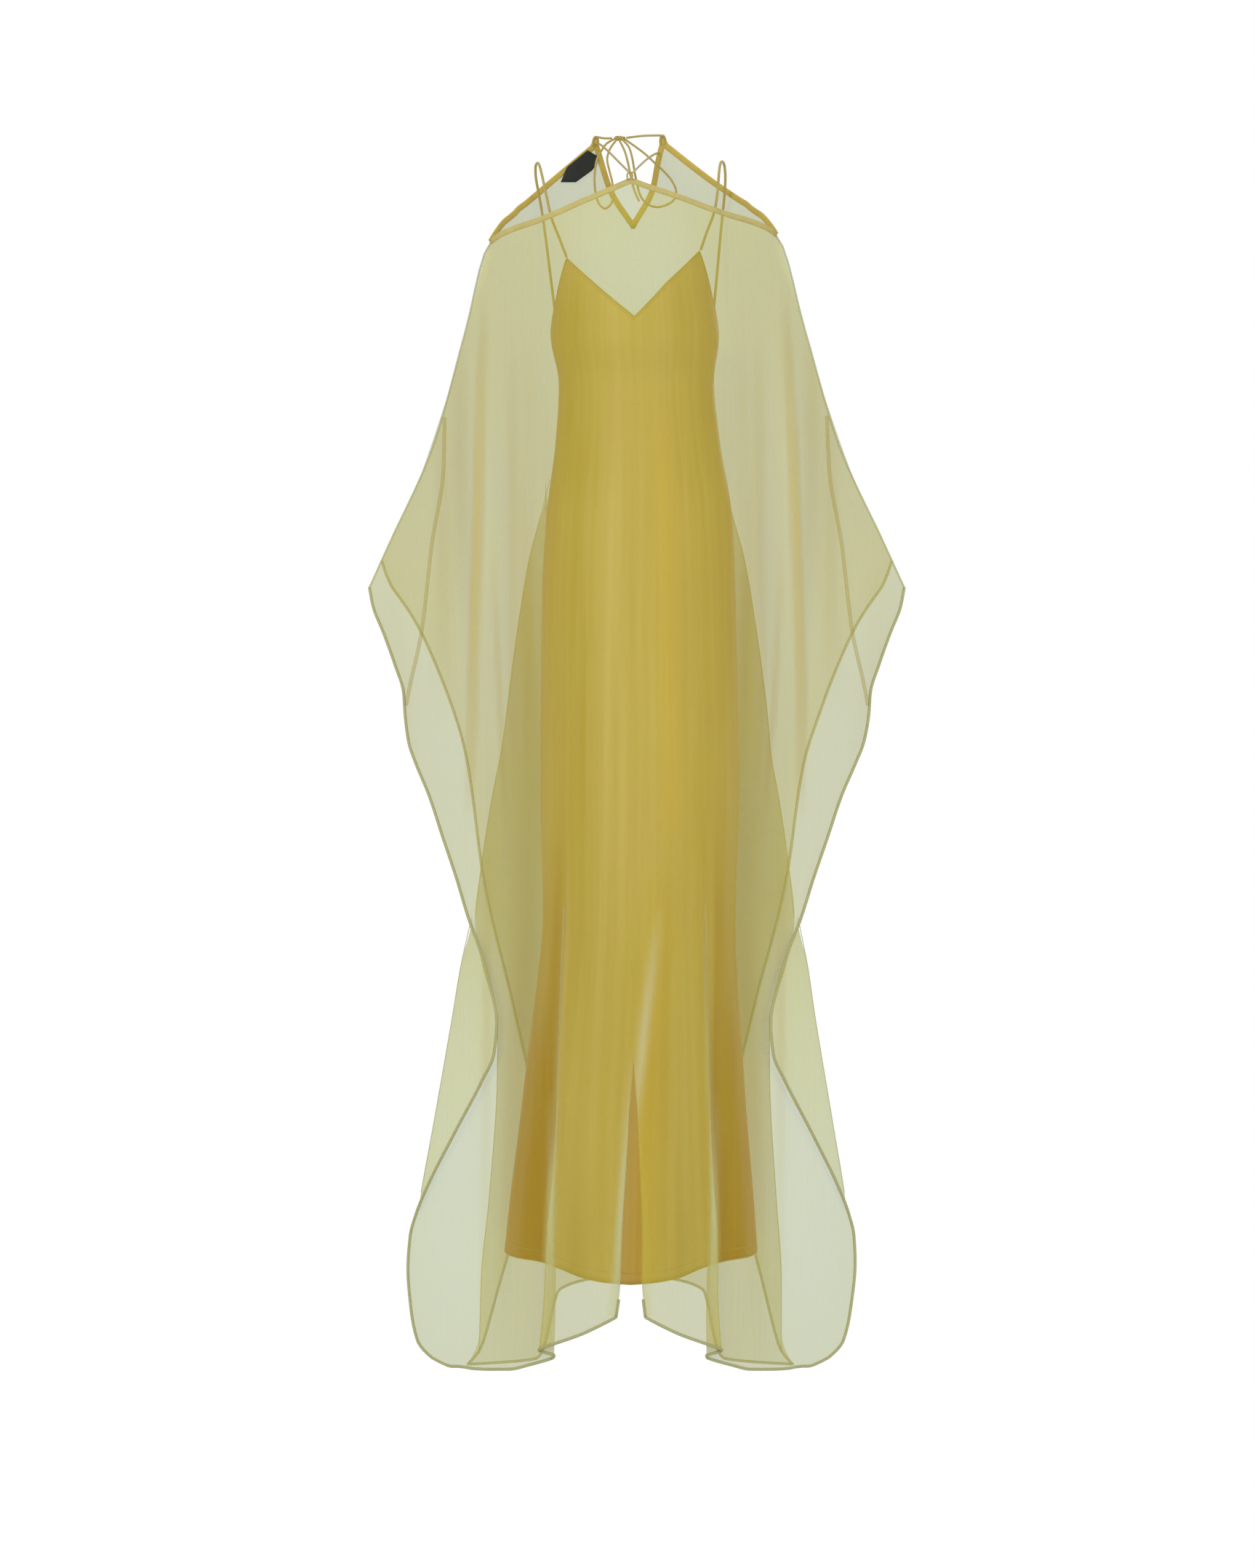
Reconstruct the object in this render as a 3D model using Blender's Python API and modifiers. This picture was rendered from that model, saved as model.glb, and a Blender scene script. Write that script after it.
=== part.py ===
"""A sheer halter kaftan worn over a satin slip dress, filled out as on a standing figure.

Two organza panels, joined only along the overarm lines, hang round a slip dress on cord
straps. The wearer isn't there, so every panel is an open cloth wall.

Frame: origin at the neck, midway between the two halter tips. +X is the wearer's left,
-Y is the front and +Z is up.
"""

import math

import bmesh
import bpy
from mathutils import Vector
from mathutils.bvhtree import BVHTree

# Driving dimensions, in metres
GARMENT_DROP = 1.580
ORGANZA_WALL = 0.0010
SATIN_WALL = 0.0012
BINDING_WALL = 0.0022
BINDING_WIDTH = 0.0050
LABEL_WALL = 0.0005
CORD_RADIUS = 0.0011
STRAP_RADIUS = 0.0013
SEAM_GAP = 0.0003

# The pattern chart is the front view. Its units run down and across the view, and the
# view is drawn from a standing viewer, so that near cloth is a little smaller in reality.
CHART_DROP = 1697
CHART_TOP = 188
CHART_CENTRE = 868
UNIT = GARMENT_DROP / CHART_DROP
VIEW_DISTANCE = 4.0
VIEW_ACROSS = -0.0047
VIEW_HEIGHT = -0.829

# Middle line of the garment, which leans a little: down, across
MIDDLE = [(180, 865), (222, 866), (290, 870), (425, 872.5), (550, 874), (700, 875.5), (975, 876),
          (1060, 874), (1250, 873), (1400, 871.5), (1525, 871), (1650, 870), (1800, 867.5),
          (1890, 866.5)]

# How much higher the right side sits than the left, from RISE_REACH outwards: down, rise
RISE_REACH = 45
RIGHT_RISE = [(185, 2), (245, 2), (331, 10), (517, 4), (700, 0), (1890, 0)]

# Cloth envelope round the figure: down, half width, front depth and back depth in mm
ENVELOPE = [(180, 196, 74, 56), (245, 196, 88, 74), (331, 196, 108, 98), (460, 233, 126, 116),
            (563, 262, 127, 117), (678, 306, 130, 121), (811, 369, 136, 126),
            (983, 338, 141, 131), (1270, 310, 152, 141), (1660, 322, 168, 156),
            (1890, 330, 174, 162)]
DOWN, HALF_WIDTH, FRONT_DEPTH, BACK_DEPTH = range(4)

# How far each panel's free side stands out from the seam plane: down, mm
SIDE_OPENING = [(180, 0), (780, 0), (983, 9), (1270, 14), (1890, 18)]

# Halter tip, down and across, and the shares of a stretch where the bindings begin or end:
# just off the shoulder points and the V's bottom, and just short of the tips
HALTER_TIP = (190.3, 818)
SHOULDER_START = 0.45
V_BINDING_START = 0.34
EDGE_BINDING_END = 0.86

# Guide columns of the left half, from the middle to the free side. A fold has two columns
# at each turn. Each row: down, across, lift in mm towards the viewer, but the columns of
# the centre slit give the distance out from the middle line in place of across
STRAIGHT_DOWNS = [290, 425, 550, 700, 975, 1060, 1250, 1400]
SLIT_COLUMNS = {
    "slit_return": [(250.5, 0, 0), (1440, 0, 0), (1500, 3, -2), (1600, 15, -5), (1691, 25, -7),
                    (1767, 30, -7), (1809, 34, -7)],
    "slit_turn": [(251.5, 4, 0), (1440, 4, 0), (1500, 5, -0.5), (1600, 9, -2), (1691, 13.5, -3),
                  (1767, 15, -3), (1811, 20, -3)],
    "slit_fold": [(253.5, 9, 0), (1440, 9, 0), (1500, 9, 0), (1600, 11, 0), (1691, 15.5, 1),
                  (1767, 18, 1), (1813, 23, 1)],
}
FRONT_COLUMNS = {
    "inner": [(271.5, 818, 0), (1000, 820, 0), (1500, 815, 2), (1834, 802, 4)],
    "flute_crest": [(281.5, 794, 0), (900, 790, 0), (1245, 780, 1), (1379, 772, 5), (1512, 766, 7),
                    (1624, 759, 8), (1691, 752, 9), (1794, 747, 9), (1856, 741, 9)],
    "flute_crest_turn": [(284.5, 788, 0), (900, 785, 0), (1245, 776, 0), (1379, 770.5, 1),
                         (1512, 766.5, 2.5), (1624, 760, 3), (1691, 753, 4), (1794, 748, 4),
                         (1858, 742, 4)],
    "flute_return": [(286.5, 783, 0), (900, 780, 0), (1245, 773, 0), (1379, 769.5, 0), (1512, 767, 1),
                     (1624, 765, 2), (1794, 764, 2.5), (1864, 762, 2.5)],
    "flute_return_turn": [(289.5, 777, 0), (900, 775, 0), (1245, 770, 0), (1379, 767.5, -1),
                          (1512, 766, -2.5), (1624, 764, -2.5), (1794, 763, -2.5), (1867, 761, -2.5)],
    "flute_back": [(293.5, 768, 0), (900, 766, 0), (1245, 760, 0), (1379, 755, -1.5), (1512, 750, -3),
                   (1624, 745, -3), (1794, 735, -3), (1877, 728, -3)],
    "side": [(304.5, 741, 0), (700, 722, 0), (1000, 716, 0), (1270, 714, 0), (1500, 706, 0),
             (1883, 700, 0)],
    "shoulder": [(334, 675, 0), (700, 676, 0), (1000, 678, 0), (1270, 695, 0), (1500, 678, 0),
                 (1883, 672, 0)],
    "strip": [(460, 639, 0), (667, 648, 0), (781, 645, 0), (983, 640, 0), (1270, 679, 0),
              (1500, 655, 0), (1882, 650, 0)],
    "outer": [(616, 595, 0), (800, 592, 0), (983, 602, 0), (1100, 628, 0), (1270, 664, 0),
              (1396, 652, 0), (1660, 612, 0), (1800, 610, 0), (1880, 638, 0)],
    "fold": [(735, 541, 0), (850, 550, 0), (983, 580, 0), (1094, 607, 0), (1262, 652.5, 0),
             (1330, 635, 0), (1396, 624, 0), (1539, 599, 0), (1640, 581, 0), (1745, 574, 0),
             (1810, 580, 0), (1850, 593, 0), (1879, 628, 0)],
    "fold_turn": [(765, 527, 0), (850, 539, 0), (983, 571, 0), (1094, 600, 0), (1262, 648.5, 3),
                  (1330, 633.5, 6), (1396, 622.5, 6), (1539, 597.5, 6), (1640, 579, 5),
                  (1745, 567, 0), (1810, 573, 0), (1850, 584, 0), (1879, 622, 0)],
    "free_edge": [(808, 508, 0), (834, 513, 0), (872, 528, 0), (914, 543, 0), (953, 555, 0),
                  (983, 557, 0), (1021, 562, 0), (1048, 571, 0), (1094, 590, 0), (1152, 609, 0),
                  (1209, 628, 0), (1265, 645, 5), (1303, 659, 10), (1356, 674, 13), (1405, 683, 14),
                  (1450, 679, 14), (1486, 663, 13), (1562, 623, 12), (1631, 588, 9), (1670, 572, 5),
                  (1700, 564, 2), (1745, 561, 0), (1798, 565, 0), (1843, 574, 0), (1867, 594, 0),
                  (1878, 616, 0)],
}
FRONT_STEPS = [1, 1, 2, 2, 1, 1, 1, 1, 1, 2, 1, 2, 2, 1, 2]
FRONT_SHOULDER = 13
FRONT_ROWS = 28

BACK_MIDDLE = [(314, 0, 0), (1525, 0, 0), (1751, 0, 0)]
BACK_COLUMNS = {
    "v_arm": [(264, 838.5, 0), (600, 843, 0), (1000, 842, 0), (1400, 838, 0), (1755, 838, 0)],
    "tip_inner": [(203, 818.5, 0), (500, 820, 0), (1000, 818, 0), (1400, 812, 0), (1760, 806, 0)],
    "tip_outer": [(205, 815, 0), (500, 806, 0), (1000, 797, 0), (1400, 787, 0), (1773, 770, 0)],
    "edge": [(256, 754, 0), (600, 779, 0), (1000, 775, 0), (1400, 764, 0), (1868, 738, 0)],
    "crest": [(283, 722, 0), (500, 749, 0), (660, 759, 1), (717, 741, 1), (770, 727, 1), (853, 713, 1),
              (930, 702, 1), (1025, 690, 1), (1102, 675, 1), (1200, 660, 1), (1262, 653, 1),
              (1330, 664, 1), (1395, 684, 1), (1486, 683, 1), (1646, 672, 1), (1758, 661, 1),
              (1843, 659, 1), (1862, 651, 1), (1876, 643, 1)],
    "crest_turn": [(289, 714, 0), (500, 744, 0), (660, 756, 5), (717, 741.5, 7), (770, 728, 7),
                   (853, 714, 7), (1025, 691, 7), (1102, 676, 7), (1200, 661, 7), (1262, 654, 7),
                   (1330, 665, 7), (1395, 685, 7), (1486, 684, 7), (1646, 673, 7), (1758, 662, 7),
                   (1858, 659, 7)],
    "fold_layer": [(294.5, 709, 0), (500, 739, 0), (660, 753, 8), (770, 742, 9), (853, 737, 9),
                   (1025, 727, 9), (1200, 713, 9), (1330, 711, 9), (1486, 712, 9), (1646, 702, 9),
                   (1758, 689, 9)],
    "return": [(300.5, 702, 0), (500, 734, 0), (660, 750, 11), (770, 757, 11), (853, 761, 11),
               (1000, 765, 11), (1200, 764, 11), (1330, 758, 11), (1440, 747, 11), (1590, 734, 11)],
    "return_turn": [(306, 695, 0), (500, 729, 0), (660, 747, 14), (770, 756, 17), (853, 760, 17),
                    (1000, 764, 17), (1200, 763, 17), (1330, 756, 17), (1440, 744, 17),
                    (1530, 735, 17)],
    "shoulder": [(334, 675, 0), (500, 694, 2), (700, 707, 14), (850, 709, 20), (1000, 708, 20),
                 (1200, 709, 20), (1300, 706, 20), (1385, 706, 20)],
    "strip": [(517, 624, 0), (700, 643, 5), (850, 655, 13), (983, 666, 16), (1100, 668, 18),
              (1215, 666, 19)],
    "outer": [(678, 569, 0), (800, 590, 2), (900, 620, 4), (1035, 640, 8)],
    "free_corner": [(738, 540, 0), (800, 560, 0), (860, 574, 0)],
    "sleeve_tip": [(772, 525, 0), (790, 531, 0), (806, 538, 0)],
}
BACK_STEPS = [2, 2, 1, 2, 2, 1, 1, 1, 1, 2, 2, 2, 2, 2]
BACK_SHOULDER = 15
BACK_ROWS = 26

# Soft upright folds: panel, down and across at the ends, half width, height in mm
SOFT_FOLDS = [
    ("front", 460, 657, 983, 650, 12, 12),
    ("front", 560, 709, 1200, 706, 14, 7),
    ("front", 900, 757, 1800, 712, 16, 6),
    ("back", 460, 640, 900, 655, 16, -8),
    ("back", 560, 690, 1250, 735, 14, -6),
    ("back", 700, 805, 1700, 792, 22, -8),
    ("back", 600, 850, 1700, 846, 16, -6),
]

# Slip dress sections: down, across of the middle, half width, half depth in mm
SLIP_SECTIONS = [(340, 871, 101, 88), (408, 872, 109, 96), (464, 873, 115, 99), (525, 875, 106, 84),
                 (605, 877, 112, 86), (711, 879, 127, 98), (809, 878.5, 132, 105),
                 (1078, 880, 136, 112), (1267, 879, 132, 116), (1334, 877, 136, 119),
                 (1468, 873, 149, 127), (1552, 871, 157, 132), (1646, 869, 167, 138),
                 (1770, 867, 178, 143)]
SLIP_V_DOWN = 435
SLIP_STRAP_DOWN = 355
SLIP_STRAP_ANGLE = 63
SLIP_SIDE_DOWN = 463
SLIP_BACK_DOWN = 478
SLIP_HEM = [(0, 1767), (10, 1764.6), (21, 1758.6), (35.5, 1743), (46, 1735.5), (60, 1731),
            (72.5, 1727.5), (90, 1721), (130, 1714), (180, 1710)]
SLIP_ANGLES = [0, 12, 24, 36, 49, 56, 63, 72, 81]
SLIP_ROWS = 13

# Cords at the neck: down, across, depth in mm (+ is towards the back)
CORD_ROUTES = {
    "halter_bar_left": [(188.8, 820.9, 53.6), (190.5, 831, 52), (190.5, 841.7, 52)],
    "halter_bar_right": [(189.9, 861.2, 52), (187.2, 884, 52.3), (186.5, 908.2, 53.7)],
    "halter_cross_left": [(197.9, 822.6, 57), (198.6, 824.8, 46), (203, 830.5, 32), (208, 836, 22),
                          (220, 848, -18), (231, 859, -60), (235.5, 863.5, -80),
                          (237.2, 865.2, -90.2)],
    "halter_cross_right": [(210.8, 905.1, 61.1), (212.5, 900, 46), (219, 890, 18), (228, 880, -24),
                           (235, 873, -62), (237.3, 870.2, -80), (238.5, 868.8, -90.2)],
    "bow_left": [(192.9, 847.5, 48.5), (205, 839, 42.5), (219, 835, 40), (235, 838, 40),
                 (251, 842, 40), (268, 843.5, 41), (281, 840, 42), (287, 832, 42), (281, 824, 42),
                 (268, 819.5, 41), (250, 817.5, 41), (233, 818.5, 41), (218, 821.5, 41),
                 (207, 827.5, 42), (198, 834, 44), (191.9, 843.8, 49.5)],
    "bow_right": [(191.8, 859.3, 49.5), (200, 871, 45), (212, 887, 44), (225, 901, 43), (236, 913, 42),
                  (249, 924, 41), (264, 930, 41), (276, 926, 42), (283, 914, 43), (285, 902, 43),
                  (280, 889, 42), (270, 881, 40), (255, 876.5, 36), (238, 873, 30), (218, 869.5, 33),
                  (203, 865, 38), (192, 855.8, 48.3)],
    "halter_tail": [(193, 851.7, 48.7), (208, 859, 34), (226, 864, 20), (246, 868, 12), (264, 873, 9),
                    (277, 879, 8)],
}
KNOT_CENTRE = (190.5, 851.5, 52)
KNOT_RADII = (0.0088, 0.0036, 0.0034)
FRONT_LOOP_ROUTE = [(247, 863, -91.75), (240.5, 862.6, -91.75), (236.5, 866, -91.75),
                    (240, 869.6, -91.75), (247, 869.2, -91.75)]
STRAP_ROUTE = [(354, 779.3, -41), (330, 770, -46), (300, 758.5, -44), (270, 751.5, -36),
               (240, 745, -20), (227, 741.5, -7), (224.5, 739, 2), (229, 736.6, 10),
               (245, 737, 20), (270, 741.5, 32), (300, 746.5, 42), (340, 752, 48),
               (380, 757, 50), (420, 762, 48), (450, 765.3, 42), (464.4, 766.4, 37.2)]
STRAP_POINTS = 24
CORD_STEP = 0.0062

LABEL_CORNERS = [(207, 808), (215, 822), (226, 821.5), (235, 814), (251, 792), (251, 771), (230, 780)]
LABEL_LIFT = 0.0027

ORGANZA = (0.62, 0.66, 0.33, 0.5)
SATIN = (0.47, 0.34, 0.07, 1.0)
BINDING = (0.55, 0.42, 0.10, 1.0)
LABEL_BLACK = (0.015, 0.017, 0.015, 1.0)

model = None


def slopes(keys, values):
    """Slopes of a smooth curve that never overshoots its own points."""
    runs = [(values[i + 1] - values[i]) / (keys[i + 1] - keys[i]) for i in range(len(keys) - 1)]
    result = [runs[0]]
    for before, after in zip(runs, runs[1:]):
        same_way = before * after > 0
        result.append(2 * before * after / (before + after) if same_way else 0.0)
    result.append(runs[-1])
    return result


def smooth(keys, values, at):
    """Value at one place of the smooth curve through keys and values."""
    at = min(max(at, keys[0]), keys[-1])
    index = 0
    while index < len(keys) - 2 and at > keys[index + 1]:
        index += 1
    span = keys[index + 1] - keys[index]
    t = (at - keys[index]) / span
    slope = slopes(keys, values)
    start = (1 + 2 * t) * (1 - t) ** 2 * values[index] + t * (1 - t) ** 2 * span * slope[index]
    end = t * t * (3 - 2 * t) * values[index + 1] + t * t * (t - 1) * span * slope[index + 1]
    return start + end


def read(table, at, column=1):
    """Value of one column of a table, smooth between its rows."""
    return smooth([row[0] for row in table], [row[column] for row in table], at)


def place(across, down, depth):
    """Point of the garment that the chart shows at across, down, at a depth in metres."""
    nearness = (VIEW_DISTANCE + depth) / VIEW_DISTANCE
    x = (across - CHART_CENTRE) * UNIT
    z = (CHART_TOP - down) * UNIT
    return Vector((VIEW_ACROSS + (x - VIEW_ACROSS) * nearness, depth,
                   VIEW_HEIGHT + (z - VIEW_HEIGHT) * nearness))


def right_rise(out, down):
    return read(RIGHT_RISE, down) * min(1.0, max(0.0, out) / RISE_REACH)


def mirrored(across, down):
    """The same chart place on the garment's right side."""
    out = read(MIDDLE, down) - across
    return across + 2 * out, down - right_rise(out, down)


def soft_folds(panel, out, down):
    """Height in mm of the soft folds at a distance out from the middle line."""
    height = 0.0
    for name, top, top_across, bottom, bottom_across, half_width, fold in SOFT_FOLDS:
        if name != panel or not top < down < bottom:
            continue
        t = (down - top) / (bottom - top)
        crest = read(MIDDLE, down) - (top_across + (bottom_across - top_across) * t)
        height += fold * math.sin(math.pi * t) ** 0.8 * math.exp(-((out - crest) / half_width) ** 2)
    return height


def cloth_depth(panel, across, down, lift):
    """Depth in metres of a panel's middle surface: the front panel bulges to -Y, the back to +Y."""
    out = abs(read(MIDDLE, down) - across)
    fullness = 1 - min(1.0, out / read(ENVELOPE, down, HALF_WIDTH)) ** 2
    opening = read(SIDE_OPENING, down)
    folds = soft_folds(panel, out, down) * min(1.0, fullness * 4) + lift
    seam = (ORGANZA_WALL + SEAM_GAP) / 2
    if panel == "front":
        full = read(ENVELOPE, down, FRONT_DEPTH) * fullness + opening
        return -seam - max(0.0, full + folds) / 1000
    full = read(ENVELOPE, down, BACK_DEPTH) * fullness + opening
    return seam + max(0.0, full - folds) / 1000


def from_middle(top, rows):
    """Guide column whose rows give the distance out from the middle line."""
    straight = [(down, rows[0][1], 0) for down in STRAIGHT_DOWNS if down > top]
    return [(down, read(MIDDLE, down) - out, lift) for down, out, lift in rows[:1] + straight + rows[1:]]


def column_places(guides, steps, rows):
    """Chart places of the left half's grid: one list of (down, across, lift) for each column."""
    grid = []
    for index, count in enumerate(steps):
        last = index == len(steps) - 1
        for step in range(count + 1 if last else count):
            grid.append(index + step / count)
    result = []
    for position in grid:
        column = []
        for row in range(rows + 1):
            crossing = []
            for guide in guides:
                down = guide[0][0] + (guide[-1][0] - guide[0][0]) * row / rows
                crossing.append((down, read(guide, down, 1), read(guide, down, 2)))
            keys = list(range(len(guides)))
            column.append(tuple(smooth(keys, [c[i] for c in crossing], position) for i in range(3)))
        result.append(column)
    return result


def panel_point(panel, down, across, lift, right):
    """Point of a panel's middle surface from its place on the left half's chart."""
    depth = cloth_depth(panel, across, down, lift)
    if right:
        across, down = mirrored(across, down)
    return place(across, down, depth)


def make_material(name, colour, roughness):
    material = bpy.data.materials.new(name)
    material.use_nodes = True
    shader = material.node_tree.nodes["Principled BSDF"]
    shader.inputs["Base Color"].default_value = colour[:3] + (1.0,)
    shader.inputs["Alpha"].default_value = colour[3]
    shader.inputs["Roughness"].default_value = roughness
    shader.inputs["Metallic"].default_value = 0.0
    material.diffuse_color = colour
    return material


def add_object(name, mesh, material):
    mesh.materials.append(material)
    thing = bpy.data.objects.new(name, mesh)
    model.objects.link(thing)
    return thing


def add_wall(thing, thickness):
    """Cloth wall of one thickness round an open surface."""
    wall = thing.modifiers.new("wall", "SOLIDIFY")
    wall.thickness = thickness
    wall.offset = 0.0
    wall.use_even_offset = False


def surface_from_grids(name, grids, material, wall, merge=0.00002):
    """Open surface from grids of points, joined where their edges meet, with a wall."""
    mesh = bmesh.new()
    for grid in grids:
        points = [[mesh.verts.new(point) for point in column] for column in grid]
        for left, right in zip(points, points[1:]):
            for row in range(len(left) - 1):
                mesh.faces.new((left[row], left[row + 1], right[row + 1], right[row]))
    bmesh.ops.remove_doubles(mesh, verts=mesh.verts, dist=merge)
    bmesh.ops.recalc_face_normals(mesh, faces=mesh.faces)
    data = bpy.data.meshes.new(name)
    mesh.to_mesh(data)
    mesh.free()
    thing = add_object(name, data, material)
    add_wall(thing, wall)
    return thing


def make_panel(name, panel, guides, steps, rows, material):
    """One organza panel: its left half's grid and the same grid on the right."""
    places = column_places(guides, steps, rows)
    grids = []
    for right in (False, True):
        grid = [[panel_point(panel, *spot, right) for spot in column] for column in places]
        grids.append(grid)
    for left_point, right_point in zip(grids[0][0], grids[1][0]):
        if (left_point - right_point).length < 0.0012:
            middle = (left_point + right_point) / 2
            left_point[:] = middle
            right_point[:] = middle
    thing = surface_from_grids(name, grids, material, ORGANZA_WALL)
    vertices = [vertex.co for vertex in thing.data.vertices]
    surface = BVHTree.FromPolygons(vertices, [tuple(face.vertices) for face in thing.data.polygons])
    return surface, grids[0], grids[1]


def binding_solid(name, edge, inward, outward, material):
    """Narrow folded band along a panel's edge, with a seam gap to the cloth."""
    half = BINDING_WALL / 2
    near = -SEAM_GAP
    far = near - BINDING_WIDTH
    profile = [(near, -half), (near, half), (far + half, half), (far, 0), (far + half, -half)]
    mesh = bmesh.new()
    rings = []
    for point, into, out in zip(edge, inward, outward):
        rings.append([mesh.verts.new(point + into * along + out * across) for along, across in profile])
    size = len(profile)
    for first, second in zip(rings, rings[1:]):
        for k in range(size):
            mesh.faces.new((first[k], first[(k + 1) % size], second[(k + 1) % size], second[k]))
    caps = [mesh.faces.new(rings[0][::-1]), mesh.faces.new(rings[-1])]
    bmesh.ops.triangulate(mesh, faces=caps)
    bmesh.ops.recalc_face_normals(mesh, faces=mesh.faces)
    data = bpy.data.meshes.new(name)
    mesh.to_mesh(data)
    mesh.free()
    return add_object(name, data, material)


def edge_frames(surface, edge, rows_inside):
    """Ways into the cloth and out of its front face at each point of a panel's edge."""
    inward, outward = [], []
    for index, point in enumerate(edge):
        along = edge[min(index + 1, len(edge) - 1)] - edge[max(index - 1, 0)]
        outward.append(along.cross(rows_inside[index] - point).normalized())
        if outward[index].y > 0:
            outward[index].negate()
        into = outward[index].cross(along).normalized()
        if into.dot(rows_inside[index] - point) < 0:
            into.negate()
        seat = surface.find_nearest(point + into * BINDING_WIDTH)[0]
        inward.append((seat - point).normalized())
        outward[index] = (outward[index] - inward[index] * outward[index].dot(inward[index])).normalized()
    return inward, outward


def between(first, second, share):
    """Edge point and inner point part of the way from one grid column to the next."""
    return [first[row].lerp(second[row], share) for row in range(2)]


def bind_edge(name, surface, columns, material, extra=None):
    """Binding along the tops of some grid columns, with an end beyond the cloth where given."""
    edge = [column[0].copy() for column in columns]
    inward, outward = edge_frames(surface, edge, [column[1] for column in columns])
    if extra is not None:
        edge.append(extra)
        inward.append(inward[-1])
        outward.append(outward[-1])
    binding_solid(name, edge, inward, outward, material)


def make_bindings(front, back, material):
    """Bands on the front's top edge, the back's sloping edges and the back V."""
    surface, left, right = front
    shoulder = FRONT_SHOULDER
    ends = [between(grid[shoulder], grid[shoulder - 1], SHOULDER_START) for grid in (left, right)]
    edge = ends[:1] + left[shoulder - 1::-1] + right[1:shoulder] + ends[1:]
    bind_edge("front_top_binding", surface, edge, material)
    surface, left, right = back
    inner = sum(BACK_STEPS[:2])
    outer = inner + BACK_STEPS[2]
    shoulder = BACK_SHOULDER
    for side, grid, mirror in (("left", left, False), ("right", right, True)):
        slope = [between(grid[shoulder], grid[shoulder - 1], SHOULDER_START)]
        slope += grid[shoulder - 1:outer:-1]
        slope += [between(grid[outer + 1], grid[outer], EDGE_BINDING_END)]
        bind_edge("back_edge_binding_" + side, surface, slope, material)
        start = between(grid[0], grid[1], V_BINDING_START)
        tip = panel_point("back", *HALTER_TIP, 0, mirror)
        bind_edge("back_v_binding_" + side, surface, [start] + grid[1:inner + 1], material, tip)


def slip_point(angle, down):
    """Point of the slip's middle surface; angle 0 is the front and 180 the back, in degrees."""
    turn = math.radians(angle)
    across = read(SLIP_SECTIONS, down, 1) + read(SLIP_SECTIONS, down, 2) * math.sin(turn)
    return place(across, down, -read(SLIP_SECTIONS, down, 3) / 1000 * math.cos(turn))


def slip_top(angle):
    """Top edge of the slip, a little higher on its right side."""
    down = slip_edge(angle)
    out = read(SLIP_SECTIONS, down, 2) * math.sin(math.radians(angle))
    return down - right_rise(out, down)


def slip_edge(angle):
    """The slip's even top edge: a V in front, up to the strap points, and a low straight back."""
    turn = abs(angle if angle <= 180 else angle - 360)
    if turn > 90:
        return SLIP_BACK_DOWN + (SLIP_SIDE_DOWN - SLIP_BACK_DOWN) * math.sin(math.radians(turn)) ** 2
    if turn > SLIP_STRAP_ANGLE:
        t = (turn - SLIP_STRAP_ANGLE) / (90 - SLIP_STRAP_ANGLE)
        return SLIP_STRAP_DOWN + (SLIP_SIDE_DOWN - SLIP_STRAP_DOWN) * t ** 1.15
    t = math.sin(math.radians(turn)) / math.sin(math.radians(SLIP_STRAP_ANGLE))
    return SLIP_V_DOWN + (SLIP_STRAP_DOWN - SLIP_V_DOWN) * t


def slip_hem(angle):
    turn = abs(angle if angle <= 180 else angle - 360)
    return read(SLIP_HEM, turn, 1)


def make_slip(material):
    """Front and back panels of the slip, joined at its sides with a seam gap."""
    seam_angle = 90 - math.degrees(SEAM_GAP / 2 / (100 * UNIT))
    front = [-seam_angle] + [-a for a in SLIP_ANGLES[:0:-1]] + SLIP_ANGLES + [seam_angle]
    back = [180 - angle for angle in front if abs(angle) not in (63,)]
    for name, angles in (("slip_front", front), ("slip_back", back)):
        grid = []
        for angle in angles:
            top = slip_top(angle)
            hem = slip_hem(angle)
            grid.append([slip_point(angle, top + (hem - top) * row / SLIP_ROWS)
                         for row in range(SLIP_ROWS + 1)])
        surface_from_grids(name, [grid], material, SATIN_WALL)


def tube(name, points, radius, material):
    """Round cord with closed ends along its route's points."""
    curve = bpy.data.curves.new(name, "CURVE")
    curve.dimensions = "3D"
    curve.bevel_depth = radius
    curve.bevel_resolution = 2
    curve.use_fill_caps = True
    spline = curve.splines.new("POLY")
    spline.points.add(len(points) - 1)
    for point, spot in zip(spline.points, points):
        point.co = (*spot, 1.0)
    return add_object(name, curve, material)


def route_points(places, count):
    """Evenly spaced points of the smooth curve through a cord's places."""
    knots = [place(across, down, depth / 1000) for down, across, depth in places]
    lengths = [0.0]
    for before, after in zip(knots, knots[1:]):
        lengths.append(lengths[-1] + (after - before).length)
    tangents = []
    for i in range(len(knots)):
        before = max(i - 1, 0)
        after = min(i + 1, len(knots) - 1)
        tangents.append((knots[after] - knots[before]) / (lengths[after] - lengths[before]))
    points = []
    for step in range(count):
        at = lengths[-1] * step / (count - 1)
        i = 0
        while i < len(knots) - 2 and at > lengths[i + 1]:
            i += 1
        span = lengths[i + 1] - lengths[i]
        t = (at - lengths[i]) / span
        points.append(knots[i] * ((1 + 2 * t) * (1 - t) ** 2) + tangents[i] * (span * t * (1 - t) ** 2)
                      + knots[i + 1] * (t * t * (3 - 2 * t)) + tangents[i + 1] * (span * t * t * (t - 1)))
    return points


def route_length(places):
    points = route_points(places, 60)
    return sum((b - a).length for a, b in zip(points, points[1:]))


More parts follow.
